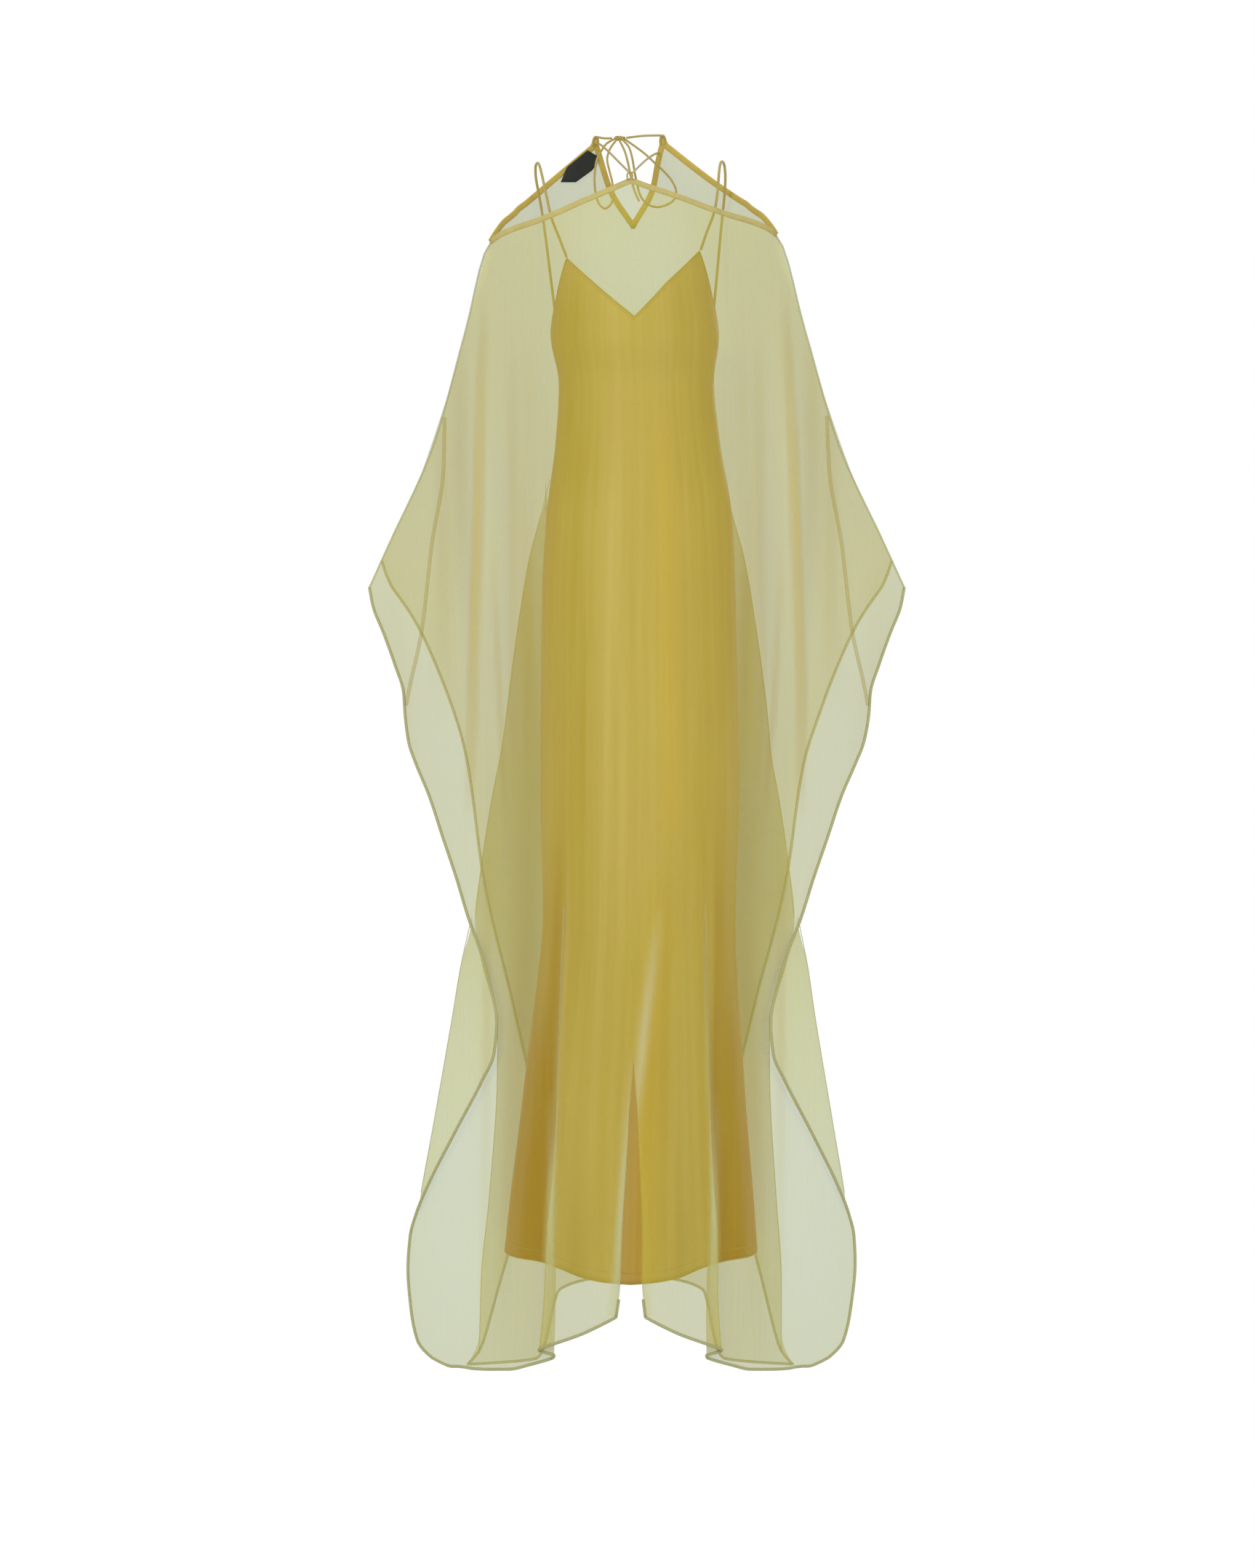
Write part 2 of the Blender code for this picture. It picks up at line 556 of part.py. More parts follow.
def make_cords(material):
    """Halter ties with their bow loops, the front's small loop and the knot."""
    for name, places in CORD_ROUTES.items():
        count = max(4, round(route_length(places) / CORD_STEP))
        tube(name, route_points(places, count), CORD_RADIUS, material)
    tube("front_loop", route_points(FRONT_LOOP_ROUTE, 9), CORD_RADIUS * 0.8, material)
    down, across, depth = KNOT_CENTRE
    centre = place(across, down, depth / 1000)
    mesh = bmesh.new()
    bmesh.ops.create_uvsphere(mesh, u_segments=12, v_segments=8, radius=1.0)
    for vert in mesh.verts:
        vert.co = centre + Vector([c * r for c, r in zip(vert.co, KNOT_RADII)])
    data = bpy.data.meshes.new("halter_knot")
    mesh.to_mesh(data)
    mesh.free()
    data.shade_smooth()
    add_object("halter_knot", data, material)


def make_straps(material):
    """Cord straps from the slip's front points over the shoulders to its low back."""
    for right, side in ((False, "left"), (True, "right")):
        places = []
        for down, across, depth in STRAP_ROUTE:
            if right:
                across, down = mirrored(across, down)
            places.append((down, across, depth))
        tube("slip_strap_" + side, route_points(places, STRAP_POINTS), STRAP_RADIUS, material)


def make_label(material):
    """Bare woven label at the left halter tip, lying on the back panel's inner face."""
    middle_down = sum(down for down, across in LABEL_CORNERS) / len(LABEL_CORNERS)
    middle_across = sum(across for down, across in LABEL_CORNERS) / len(LABEL_CORNERS)
    mesh = bmesh.new()

    def corner(down, across):
        lift = LABEL_LIFT * 1000
        return mesh.verts.new(panel_point("back", down, across, lift, False))

    centre = corner(middle_down, middle_across)
    rim = [corner(down, across) for down, across in LABEL_CORNERS]
    for first, second in zip(rim, rim[1:] + rim[:1]):
        mesh.faces.new((centre, first, second))
    bmesh.ops.recalc_face_normals(mesh, faces=mesh.faces)
    data = bpy.data.meshes.new("neck_label")
    mesh.to_mesh(data)
    mesh.free()
    add_wall(add_object("neck_label", data, material), LABEL_WALL)


def main():
    global model
    for thing in list(bpy.data.objects):
        bpy.data.objects.remove(thing, do_unlink=True)
    model = bpy.data.collections.new("kaftan")
    bpy.context.scene.collection.children.link(model)
    organza = make_material("organza", ORGANZA, 0.55)
    satin = make_material("satin", SATIN, 0.35)
    binding = make_material("binding", BINDING, 0.5)
    label = make_material("label", LABEL_BLACK, 0.6)
    slit = [from_middle(254, rows) for rows in SLIT_COLUMNS.values()]
    guides = slit + list(FRONT_COLUMNS.values())
    front = make_panel("kaftan_front", "front", guides, FRONT_STEPS, FRONT_ROWS, organza)
    guides = [from_middle(314, BACK_MIDDLE)] + list(BACK_COLUMNS.values())
    back = make_panel("kaftan_back", "back", guides, BACK_STEPS, BACK_ROWS, organza)
    make_bindings(front, back, binding)
    make_slip(satin)
    make_straps(satin)
    make_cords(binding)
    make_label(label)


main()
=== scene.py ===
"""Sheer halter kaftan over a satin slip dress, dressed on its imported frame.

The chart below is the front view of the garment. Every cloth, hem, binding and cord is worked
out from it, so the fine pieces follow the solids of the frame.
"""

import math
from bisect import bisect_right

import bmesh
import bpy
from bpy.props import FloatProperty, FloatVectorProperty, IntProperty
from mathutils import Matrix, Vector, noise
from mathutils.bvhtree import BVHTree


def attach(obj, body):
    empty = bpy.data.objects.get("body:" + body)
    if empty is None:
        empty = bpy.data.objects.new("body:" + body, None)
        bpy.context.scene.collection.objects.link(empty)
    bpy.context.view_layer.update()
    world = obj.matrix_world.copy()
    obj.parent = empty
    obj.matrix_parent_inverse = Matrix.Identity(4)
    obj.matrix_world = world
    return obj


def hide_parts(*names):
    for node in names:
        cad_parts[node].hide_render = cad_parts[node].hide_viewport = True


bl_info = {
    "name": "Halter Kaftan",
    "version": (1, 0, 0),
    "blender": (4, 5, 0),
    "location": "View3D > Sidebar > Kaftan",
    "description": "Builds a sheer halter kaftan over a satin slip dress",
    "category": "Object",
}

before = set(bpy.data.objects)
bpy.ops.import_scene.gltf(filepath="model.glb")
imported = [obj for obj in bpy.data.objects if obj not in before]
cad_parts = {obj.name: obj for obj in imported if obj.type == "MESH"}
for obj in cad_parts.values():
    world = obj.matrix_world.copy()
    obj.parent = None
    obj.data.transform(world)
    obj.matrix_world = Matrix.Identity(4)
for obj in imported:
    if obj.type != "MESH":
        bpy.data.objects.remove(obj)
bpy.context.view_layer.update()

# Chart units, in metres, and the standing viewer from whom the chart is drawn
GARMENT_DROP = 1.580
CHART_DROP = 1697
CHART_TOP = 188
CHART_CENTRE = 868
UNIT = GARMENT_DROP / CHART_DROP
VIEW_DISTANCE = 4.0
VIEW_ACROSS = -0.0047
VIEW_HEIGHT = -0.829
VIEW_ROWS = 2156

BINDING_WALL = 0.0022
BINDING_WIDTH = 0.0050
CORD_RADIUS = 0.0014
STRAP_RADIUS = 0.0017
SEAM_GAP = 0.0003
SEAM_HALF = 0.00065

MIDDLE = [(180, 865), (222, 866), (290, 870), (425, 872.5), (550, 874), (700, 875.5), (975, 876),
          (1060, 874), (1250, 873), (1400, 871.5), (1525, 871), (1650, 870), (1800, 867.5),
          (1890, 866.5)]
RISE_REACH = 45
RIGHT_RISE = [(185, 2), (245, 2), (331, 10), (517, 4), (700, 0), (1890, 0)]

# Cloth envelope round the figure: down, half width, front depth and back depth in mm
ENVELOPE = [(180, 196, 74, 56), (245, 196, 88, 74), (331, 196, 108, 98), (460, 233, 126, 116),
            (563, 262, 127, 117), (678, 306, 130, 121), (811, 369, 136, 126),
            (983, 338, 141, 131), (1270, 310, 152, 141), (1660, 322, 168, 156),
            (1890, 330, 174, 162)]
SIDE_OPENING = [(180, 0), (780, 0), (983, 9), (1270, 14), (1890, 18)]
HALTER_TIP = (190.3, 818)
EDGE_TIP = (198, 818.5)

# Guide columns of the left half: down, across, lift in mm towards the viewer. The columns of
# the centre slit give the distance out from the middle line in place of across
STRAIGHT_DOWNS = [290, 425, 550, 700, 975, 1060, 1250, 1400]
SLIT_COLUMNS = {
    "slit_return": [(250.5, 0, 0), (1440, 0, 0), (1500, 3, -2), (1600, 15, -5), (1691, 25, -7),
                    (1767, 30, -7), (1809, 34, -7)],
    "slit_turn": [(251.5, 4, 0), (1440, 4, 0), (1500, 5, -0.5), (1600, 9, -2), (1691, 13.5, -3),
                  (1767, 15, -3), (1811, 20, -3)],
    "slit_fold": [(253.5, 9, 0), (1440, 9, 0), (1500, 9, 0), (1600, 11, 0), (1691, 15.5, 1),
                  (1767, 18, 1), (1813, 23, 1)],
}
FRONT_COLUMNS = {
    "inner": [(271.5, 818, 0), (1000, 820, 0), (1500, 815, 2), (1834, 802, 4)],
    "flute_crest": [(281.5, 794, 0), (900, 790, 0), (1245, 780, 1), (1379, 772, 5), (1512, 766, 7),
                    (1624, 759, 8), (1691, 752, 9), (1794, 747, 9), (1856, 741, 9)],
    "flute_crest_turn": [(284.5, 788, 0), (900, 785, 0), (1245, 776, 0), (1379, 770.5, 1),
                         (1512, 766.5, 2.5), (1624, 760, 3), (1691, 753, 4), (1794, 748, 4),
                         (1858, 742, 4)],
    "flute_return": [(286.5, 783, 0), (900, 780, 0), (1245, 773, 0), (1379, 769.5, 0),
                     (1512, 767, 1), (1624, 765, 2), (1794, 764, 2.5), (1864, 762, 2.5)],
    "flute_return_turn": [(289.5, 777, 0), (900, 775, 0), (1245, 770, 0), (1379, 767.5, -1),
                          (1512, 766, -2.5), (1624, 764, -2.5), (1794, 763, -2.5),
                          (1867, 761, -2.5)],
    "flute_back": [(293.5, 768, 0), (900, 766, 0), (1245, 760, 0), (1379, 755, -1.5),
                   (1512, 750, -3), (1624, 745, -3), (1794, 735, -3), (1877, 728, -3)],
    "side": [(304.5, 741, 0), (700, 722, 0), (1000, 716, 0), (1270, 714, 0), (1500, 706, 0),
             (1883, 700, 0)],
    "shoulder": [(334, 675, 0), (700, 676, 0), (1000, 678, 0), (1270, 695, 0), (1500, 678, 0),
                 (1883, 672, 0)],
    "strip": [(460, 639, 0), (667, 648, 0), (781, 645, 0), (983, 640, 0), (1270, 679, 0),
              (1500, 655, 0), (1882, 650, 0)],
    "outer": [(616, 595, 0), (800, 592, 0), (983, 602, 0), (1100, 628, 0), (1270, 664, 0),
              (1396, 652, 0), (1660, 612, 0), (1800, 610, 0), (1880, 638, 0)],
    "fold": [(735, 541, 0), (850, 550, 0), (983, 580, 0), (1094, 607, 0), (1262, 652.5, 0),
             (1330, 635, 0), (1396, 624, 0), (1539, 599, 0), (1640, 581, 0), (1745, 574, 0),
             (1810, 580, 0), (1850, 593, 0), (1879, 628, 0)],
    "fold_turn": [(765, 527, 0), (850, 539, 0), (983, 571, 0), (1094, 600, 0), (1262, 648.5, 3),
                  (1330, 633.5, 6), (1396, 622.5, 6), (1539, 597.5, 6), (1640, 579, 5),
                  (1745, 567, 0), (1810, 573, 0), (1850, 584, 0), (1879, 622, 0)],
    "free_edge": [(808, 508, 0), (834, 513, 0), (872, 528, 0), (914, 543, 0), (953, 555, 0),
                  (983, 557, 0), (1021, 562, 0), (1048, 571, 0), (1094, 590, 0), (1152, 609, 0),
                  (1209, 628, 0), (1265, 645, 5), (1303, 659, 10), (1356, 674, 13), (1405, 683, 14),
                  (1450, 679, 14), (1486, 663, 13), (1562, 623, 12), (1631, 588, 9), (1670, 572, 5),
                  (1700, 564, 2), (1745, 561, 0), (1798, 565, 0), (1843, 574, 0), (1867, 594, 0),
                  (1878, 616, 0)],
}
FRONT_STEPS = [1, 1, 2, 2, 1, 1, 1, 1, 1, 2, 1, 2, 2, 1, 2]
FRONT_SHOULDER = 13

BACK_MIDDLE = [(314, 0, 0), (1525, 0, 0), (1751, 0, 0)]
BACK_COLUMNS = {
    "v_arm": [(264, 838.5, 0), (600, 843, 0), (1000, 842, 0), (1400, 838, 0), (1755, 838, 0)],
    "tip_inner": [(203, 818.5, 0), (500, 820, 0), (1000, 818, 0), (1400, 812, 0), (1760, 806, 0)],
    "tip_outer": [(205, 815, 0), (500, 806, 0), (1000, 797, 0), (1400, 787, 0), (1773, 770, 0)],
    "edge": [(256, 754, 0), (600, 779, 0), (1000, 775, 0), (1400, 764, 0), (1868, 738, 0)],
    "crest": [(283, 722, 0), (500, 749, 0), (660, 759, 1), (717, 741, 1), (770, 727, 1),
              (853, 713, 1), (930, 702, 1), (1025, 690, 1), (1102, 675, 1), (1200, 660, 1),
              (1262, 653, 1), (1330, 664, 1), (1395, 684, 1), (1486, 683, 1), (1646, 672, 1),
              (1758, 661, 1), (1843, 659, 1), (1862, 651, 1), (1876, 643, 1)],
    "crest_turn": [(289, 714, 0), (500, 744, 0), (660, 756, 5), (717, 741.5, 7), (770, 728, 7),
                   (853, 714, 7), (1025, 691, 7), (1102, 676, 7), (1200, 661, 7), (1262, 654, 7),
                   (1330, 665, 7), (1395, 685, 7), (1486, 684, 7), (1646, 673, 7), (1758, 662, 7),
                   (1858, 659, 7)],
    "fold_layer": [(294.5, 709, 0), (500, 739, 0), (660, 753, 8), (770, 742, 9), (853, 737, 9),
                   (1025, 727, 9), (1200, 713, 9), (1330, 711, 9), (1486, 712, 9), (1646, 702, 9),
                   (1758, 689, 9)],
    "return": [(300.5, 702, 0), (500, 734, 0), (660, 750, 11), (770, 757, 11), (853, 761, 11),
               (1000, 765, 11), (1200, 764, 11), (1330, 758, 11), (1440, 747, 11), (1590, 734, 11)],
    "return_turn": [(306, 695, 0), (500, 729, 0), (660, 747, 14), (770, 756, 17), (853, 760, 17),
                    (1000, 764, 17), (1200, 763, 17), (1330, 756, 17), (1440, 744, 17),
                    (1530, 735, 17)],
    "shoulder": [(334, 675, 0), (500, 694, 2), (700, 707, 14), (850, 709, 20), (1000, 708, 20),
                 (1200, 709, 20), (1300, 706, 20), (1385, 706, 20)],
    "strip": [(517, 624, 0), (700, 643, 5), (850, 655, 13), (983, 666, 16), (1100, 668, 18),
              (1215, 666, 19)],
    "outer": [(678, 569, 0), (800, 590, 2), (900, 620, 4), (1035, 640, 8)],
    "free_corner": [(738, 540, 0), (800, 560, 0), (860, 574, 0)],
    "sleeve_tip": [(772, 525, 0), (790, 531, 0), (806, 538, 0)],
}
BACK_STEPS = [2, 2, 1, 2, 2, 1, 1, 1, 1, 2, 2, 2, 2, 2]
BACK_SHOULDER = 15

# Soft upright folds: panel, down and across at the ends, half width, height in mm
SOFT_FOLDS = [
    ("front", 460, 657, 983, 650, 12, 12),
    ("front", 560, 709, 1200, 706, 14, 7),
    ("front", 900, 757, 1800, 712, 16, 6),
    ("back", 460, 640, 900, 655, 16, -8),
    ("back", 560, 690, 1250, 735, 14, -6),
    ("back", 700, 805, 1700, 792, 22, -8),
    ("back", 600, 850, 1700, 846, 16, -6),
]

# Denser strips of cloth, where the weave is gathered: panel, down and across at the ends,
# half width, added thickness
DENSE_STRIPS = [
    ("front", 400, 665, 1130, 645, 7.5, 0.30),
    ("front", 740, 676, 1180, 698, 5, 0.12),
    ("front", 440, 704, 1250, 708, 8, 0.09),
    ("front", 380, 640, 1000, 600, 18, 0.06),
    ("front", 1000, 790, 1850, 757, 9, 0.08),
    ("front", 1250, 722, 1890, 684, 12, 0.06),
    ("front", 1150, 672, 1890, 664, 7, 0.08),
    ("front", 200, 868, 560, 868, 95, -0.07),
    ("front", 480, 745, 1150, 745, 26, 0.03),
    ("front", 1250, 620, 2000, 620, 70, -0.11),
    ("back", 480, 700, 1200, 742, 12, 0.07),
    ("back", 420, 628, 860, 640, 10, 0.07),
    ("back", 200, 868, 560, 868, 95, -0.05),
    ("front", 740, 525, 1080, 556, 30, 0.05),
    ("back", 480, 600, 930, 612, 9, 0.06),
    ("front", 420, 728, 1080, 724, 10, 0.05),
    ("back", 1250, 620, 2000, 620, 70, -0.09),
    ("back", 1150, 790, 1800, 782, 14, 0.06),
    ("back", 760, 745, 1740, 715, 26, 0.065),
]
STRIP_CRISPNESS = 3.2

# How much thinner the cloth is beside the slit, and where down the chart that sets in
RETURN_FADE = 0.31
FADE_START = 1500
FADE_REACH = 100

# Painted highlights on the cloth's glossy crests, some on one half only
HIGHLIGHT_STRIPS = [
    ("front_right", 1240, 838, 1600, 876, 8.5, 1.0),
    ("front_left", 1440, 872, 1900, 838, 8.5, 1.0),
    ("front", 1180, 781, 1850, 750, 6, 0.4),
    ("front", 1500, 757, 1880, 757, 6, 0.55),
    ("front", 700, 738, 1500, 748, 10, 0.18),
]
# Extra cover of the cloth under its painted highlights
HIGHLIGHT_COVER = 0.21

# Creases pressed into the cloth, seen as thin lines: panel, rows of down, across and lift,
# share of the usual radius, finish
CREASES = {
    "sleeve_crease": ("front", [(575, 611.5, 0), (644, 610, 0), (747, 594, 0), (867, 580, 0),
                                (946, 563, 0), (970, 558.5, 0)], 4.0, "crease"),
    "flap_crease": ("front", FRONT_COLUMNS["fold_turn"][4:9], 1.0, "crease"),
    # The flute crease is a painted highlight line along the flute's crest
    "flute_crease": ("front", FRONT_COLUMNS["flute_crest_turn"][2:], 1.6,
                     "pale_crease"),
    "diagonal_crease": ("back", BACK_COLUMNS["crest_turn"][2:10], 1.0, "crease"),
    "lower_crease": ("back", BACK_COLUMNS["crest_turn"][11:], 1.0, "crease"),
}
CREASE_STEPS = 90

# Slip dress sections: down, across of the middle, half width, half depth in mm
SLIP_SECTIONS = [(340, 871, 101, 88), (408, 872, 109, 96), (464, 873, 115, 99), (525, 875, 106, 84),
                 (605, 877, 112, 86), (711, 879, 127, 98), (809, 878.5, 132, 105),
                 (1078, 880, 136, 112), (1267, 879, 132, 116), (1334, 877, 136, 119),
                 (1468, 873, 149, 127), (1552, 871, 157, 132), (1646, 869, 167, 138),
                 (1770, 867, 178, 143)]
SLIP_V_DOWN = 435
SLIP_STRAP_DOWN = 355
SLIP_STRAP_ANGLE = 63
SLIP_SIDE_DOWN = 463
SLIP_BACK_DOWN = 478
SLIP_HEM = [(0, 1767), (10, 1764.6), (21, 1758.6), (35.5, 1743), (46, 1735.5), (60, 1731),
            (72.5, 1727.5), (90, 1721), (130, 1714), (180, 1710)]
SLIP_HEM_SIDE = 1721

# Drape of the satin: angle in degrees at the top and at the hem, spread, height in mm
SATIN_FOLDS = [(-38, -34, 7, 3.0, 900), (-16, -13, 6, 2.4, 700), (6, 9, 6, 2.6, 640),
               (21, 20, 5, 2.2, 980), (40, 43, 8, 3.2, 860), (-62, -60, 8, 3.0, 1050),
               (66, 63, 9, 3.0, 1000), (118, 122, 9, 3.2, 820), (146, 150, 8, 2.8, 900),
               (178, 176, 9, 3.4, 760), (214, 208, 9, 3.0, 880), (243, 240, 8, 2.8, 940)]

# Cords at the neck: down, across, depth in mm (+ is towards the back)
CORD_ROUTES = {
    "halter_bar_left": [(188.8, 820.9, 53.6), (190.5, 831, 52), (190.5, 841.7, 52)],
    "halter_bar_right": [(189.9, 861.2, 52), (187.2, 884, 52.3), (186.5, 908.2, 53.7)],
    "halter_cross_left": [(197.9, 822.6, 57), (198.6, 824.8, 46), (203, 830.5, 32), (208, 836, 22),
                          (220, 848, -18), (231, 859, -60), (235.5, 863.5, -80),
                          (237.2, 865.2, -90.2)],
    "halter_cross_right": [(210.8, 905.1, 61.1), (212.5, 900, 46), (219, 890, 18), (228, 880, -24),
                           (235, 873, -62), (237.3, 870.2, -80), (238.5, 868.8, -90.2)],
    "bow_left": [(192.9, 847.5, 48.5), (205, 839, 42.5), (219, 835, 40), (235, 838, 40),
                 (251, 842, 40), (268, 843.5, 41), (281, 840, 42), (287, 832, 42), (281, 824, 42),
                 (268, 819.5, 41), (250, 817.5, 41), (233, 818.5, 41), (218, 821.5, 41),
                 (207, 827.5, 42), (198, 834, 44), (191.9, 843.8, 49.5)],
    "bow_right": [(191.8, 859.3, 49.5), (200, 871, 45), (212, 887, 44), (225, 901, 43),
                  (236, 913, 42), (249, 924, 41), (264, 930, 41), (276, 926, 42), (283, 914, 43),
                  (285, 902, 43), (280, 889, 42), (270, 881, 40), (255, 876.5, 36),
                  (238, 873, 30), (218, 869.5, 33), (203, 865, 38), (192, 855.8, 48.3)],
    "halter_tail": [(193, 851.7, 48.7), (208, 859, 34), (226, 864, 20), (246, 868, 12),
                    (264, 873, 9), (277, 879, 8)],
}
TIP_LOOP_ROUTE = [(201, 815.6, 58.2), (196, 815.4, 56.8), (191, 816.6, 55.2), (188.6, 818.6, 54.4),
                  (189.4, 821.0, 54.8), (193, 822.4, 56.0), (198, 822.8, 57.4), (201, 822.6, 58.2)]
FREE_CORDS = {"bow_left": "object", "bow_right": "object", "halter_tail": "bare"}
KNOT_CENTRE = (190.5, 851.5, 52)
KNOT_RADII = (0.0088, 0.0036, 0.0034)
FRONT_LOOP_ROUTE = [(247, 863, -91.75), (240.5, 862.6, -91.75), (236.5, 866, -91.75),
                    (240, 869.6, -91.75), (247, 869.2, -91.75)]
STRAP_ROUTE = [(354, 779.3, -41), (330, 770, -46), (300, 758.5, -44), (270, 751.5, -36),
               (240, 745, -20), (227, 741.5, -7), (224.5, 739, 2), (229, 736.6, 10),
               (245, 737, 20), (270, 741.5, 32), (300, 746.5, 42), (340, 752, 48),
               (380, 757, 50), (420, 762, 48), (450, 765.3, 42), (464.4, 766.4, 37.2)]
LABEL_CORNERS = [(207, 808), (215, 822), (226, 821.5), (235, 814), (251, 792), (251, 771),
                 (230, 780)]
LABEL_LIFT = 2.7
LABEL_RINGS = 6
LABEL_SIDE_STEPS = 7
LABEL_WALL = 0.0005
LABEL_SPREAD = 22.0
BORDER_SHARE = 0.9
BORDER_LIFT = 0.35

# How fine the pieces are, in metres unless they are counts or degrees
ORGANZA_PITCH = 0.0011
WAVER = 0.0016
CORD_STEP = 0.0020
KNOT_STEPS = 120
SLIP_SEAM = 89.9
SLIP_TURN = 1.5
SLIP_ROWS = 150
EDGE_ROLL = 0.0008
BINDING_OVERLAP = 0.0024
BINDING_BULGE = 0.86
CORD_SIDES = 10
ROLL_SIDES = 8
CREASE_SIDES = 6
ROUTE_STEPS = 40
STRAP_STEPS = 110
STITCH_SIDES = 6
STITCH_SHARE = 0.68
STITCH_RADIUS = 0.00022
BINDING_STITCH = 0.0024
SATIN_STITCH = 0.0026
LABEL_STITCH = 0.0022
SLIP_SEAM_RADIUS = 0.0006
SLIP_SEAM_STEPS = 90
SATIN_FLAT_RADIUS = 0.115
GRID_WELD = 0.00004
CURVE_WELD = 0.000002
MIDDLE_WELD = 0.0012
SLACK_DEPTH = 0.04

# Tones of the satin. Its side bands: down, distance out where they begin, strength. Its
# streaks: down and out at the ends, half width, light (painted highlight where above 0,
# painted shade where below) and warmth
SIDE_BANDS = [(1030, 100, 0.0), (1188, 101.5, 0.45), (1300, 103, 0.75), (1527, 105, 1.0),
              (1660, 118, 1.0), (1763, 122, 1.0)]
SIDE_BLUR = 9.0
SATIN_STREAKS = [(440, -5, 1330, 0, 58, 0.26, 0.0), (540, -34, 1790, -60, 9, 0.30, 0.0),
                 (900, -24, 1790, -33, 6, 0.20, 0.0), (520, 34, 1220, 44, 17, 0.14, 0.60),
                 (1180, 33, 1840, 8, 20, -0.04, 0.80), (1260, 49, 1790, 60, 6, 0.22, 0.1),
                 (520, -88, 1500, -84, 24, -0.16, 0.0), (520, 84, 1500, 86, 22, -0.08, 0.1),
                 (470, -70, 900, -72, 7, 0.18, 0.0), (470, 62, 800, 66, 7, 0.16, 0.1),
                 (400, -95, 620, -98, 14, -0.10, -0.2), (370, -76, 700, -84, 44, -0.26, 0.0),
                 (370, 74, 700, 84, 40, -0.14, 0.0)]

# Cuts before hanging: width and length of the rectangle, and the area of the cut, in metres
CUTS = {
    "front": ((0.78, 1.55), 0.90),
    "back": ((0.90, 1.60), 0.98),
    "slip_front": ((0.50, 1.33), 0.465),
    "slip_back": ((0.49, 1.22), 0.455),
    "label": ((0.046, 0.043), 0.00115),
}

# Lights: name, place, target, width and height, watts
LIGHTS = [
    ("key", (-1.7, -2.7, 0.6), (0.0, 0.0, -0.75), (1.2, 2.2), 40.0),
    ("fill", (2.1, -2.3, -0.3), (0.0, 0.0, -0.85), (1.2, 2.2), 20.0),
    ("rear", (0.5, 2.6, 0.7), (0.0, 0.0, -0.7), (1.6, 1.6), 22.0),
]
SENSOR = 24.0
AMBIENT = 0.75
BACKDROP = (0.64, 0.70, 0.65)
FLOOR_HEIGHT = -1.612
FLOOR_SIZE = 14.0
FLOOR_TONE = (0.8, 0.8, 0.8, 1.0)
SHEER_LAYERS = 32


def between(t, span, start, start_slope, end, end_slope):
    """Smooth step from start to end, over a span that t crosses from 0 to 1."""
    return (start * ((1 + 2 * t) * (1 - t) ** 2) + start_slope * (span * t * (1 - t) ** 2)
            + end * (t * t * (3 - 2 * t)) + end_slope * (span * t * t * (t - 1)))


def spread(first, last, steps):
    """Even values from first to last."""
    return [first + (last - first) * k / steps for k in range(steps + 1)]


class Line:
    """Smooth curve through points that never overshoots them."""

    def __init__(self, keys, values):
        self.keys = list(keys)
        self.values = list(values)
        runs = [(b - a) / (q - p) for a, b, p, q in
                zip(self.values, self.values[1:], self.keys, self.keys[1:])]
        self.slopes = [runs[0]]
        for before, after in zip(runs, runs[1:]):
            same_way = before * after > 0
            self.slopes.append(2 * before * after / (before + after) if same_way else 0.0)
        self.slopes.append(runs[-1])

    def __call__(self, at):
        at = min(max(at, self.keys[0]), self.keys[-1])
        i = min(bisect_right(self.keys, at) - 1, len(self.keys) - 2)
        span = self.keys[i + 1] - self.keys[i]
        return between((at - self.keys[i]) / span, span, self.values[i], self.slopes[i],
                       self.values[i + 1], self.slopes[i + 1])


def lines(table):
    """One smooth curve for each column of a table after its first."""
    keys = [row[0] for row in table]
    return [Line(keys, [row[k] for row in table]) for k in range(1, len(table[0]))]


middle_line = lines(MIDDLE)[0]
rise_line = lines(RIGHT_RISE)[0]
half_width_line, front_depth_line, back_depth_line = lines(ENVELOPE)
band_start_line, band_share_line = lines(SIDE_BANDS)
opening_line = lines(SIDE_OPENING)[0]
slip_middle, slip_half, slip_depth = lines(SLIP_SECTIONS)
slip_hem_line = lines(SLIP_HEM)[0]


def place(across, down, depth):
    """Point of the garment that the chart shows at across, down, at a depth in metres."""
    nearness = (VIEW_DISTANCE + depth) / VIEW_DISTANCE
    x = (across - CHART_CENTRE) * UNIT
    z = (CHART_TOP - down) * UNIT
    return Vector((VIEW_ACROSS + (x - VIEW_ACROSS) * nearness, depth,
                   VIEW_HEIGHT + (z - VIEW_HEIGHT) * nearness))


def right_rise(out, down):
    return rise_line(down) * min(1.0, max(0.0, out) / RISE_REACH)


def mirrored(across, down):
    """The same chart place on the garment's right side."""
    out = middle_line(down) - across
    return across + 2 * out, down - right_rise(out, down)


def on_side(route, right):
    """A route of down, across, depth on the garment's left or right side."""
    if not right:
        return route
    places = [(*mirrored(across, down), depth) for down, across, depth in route]
    return [(down, across, depth) for across, down, depth in places]


def strip_share(row, out, down, crispness=2):
    """How much of a strip or soft fold lies at a distance out from the middle line."""
    name, top, top_across, bottom, bottom_across, half_width, size = row
    if not top < down < bottom:
        return 0.0
    t = (down - top) / (bottom - top)
    crest = middle_line(down) - (top_across + (bottom_across - top_across) * t)
    nearness = math.exp(-abs((out - crest) / half_width) ** crispness)
    return size * math.sin(math.pi * t) ** 0.8 * nearness


def strips(table, names, out, down, crispness=2):
    """Sum of a table's strips that bear one of the names."""
    return sum(strip_share(row, out, down, crispness) for row in table if row[0] in names)


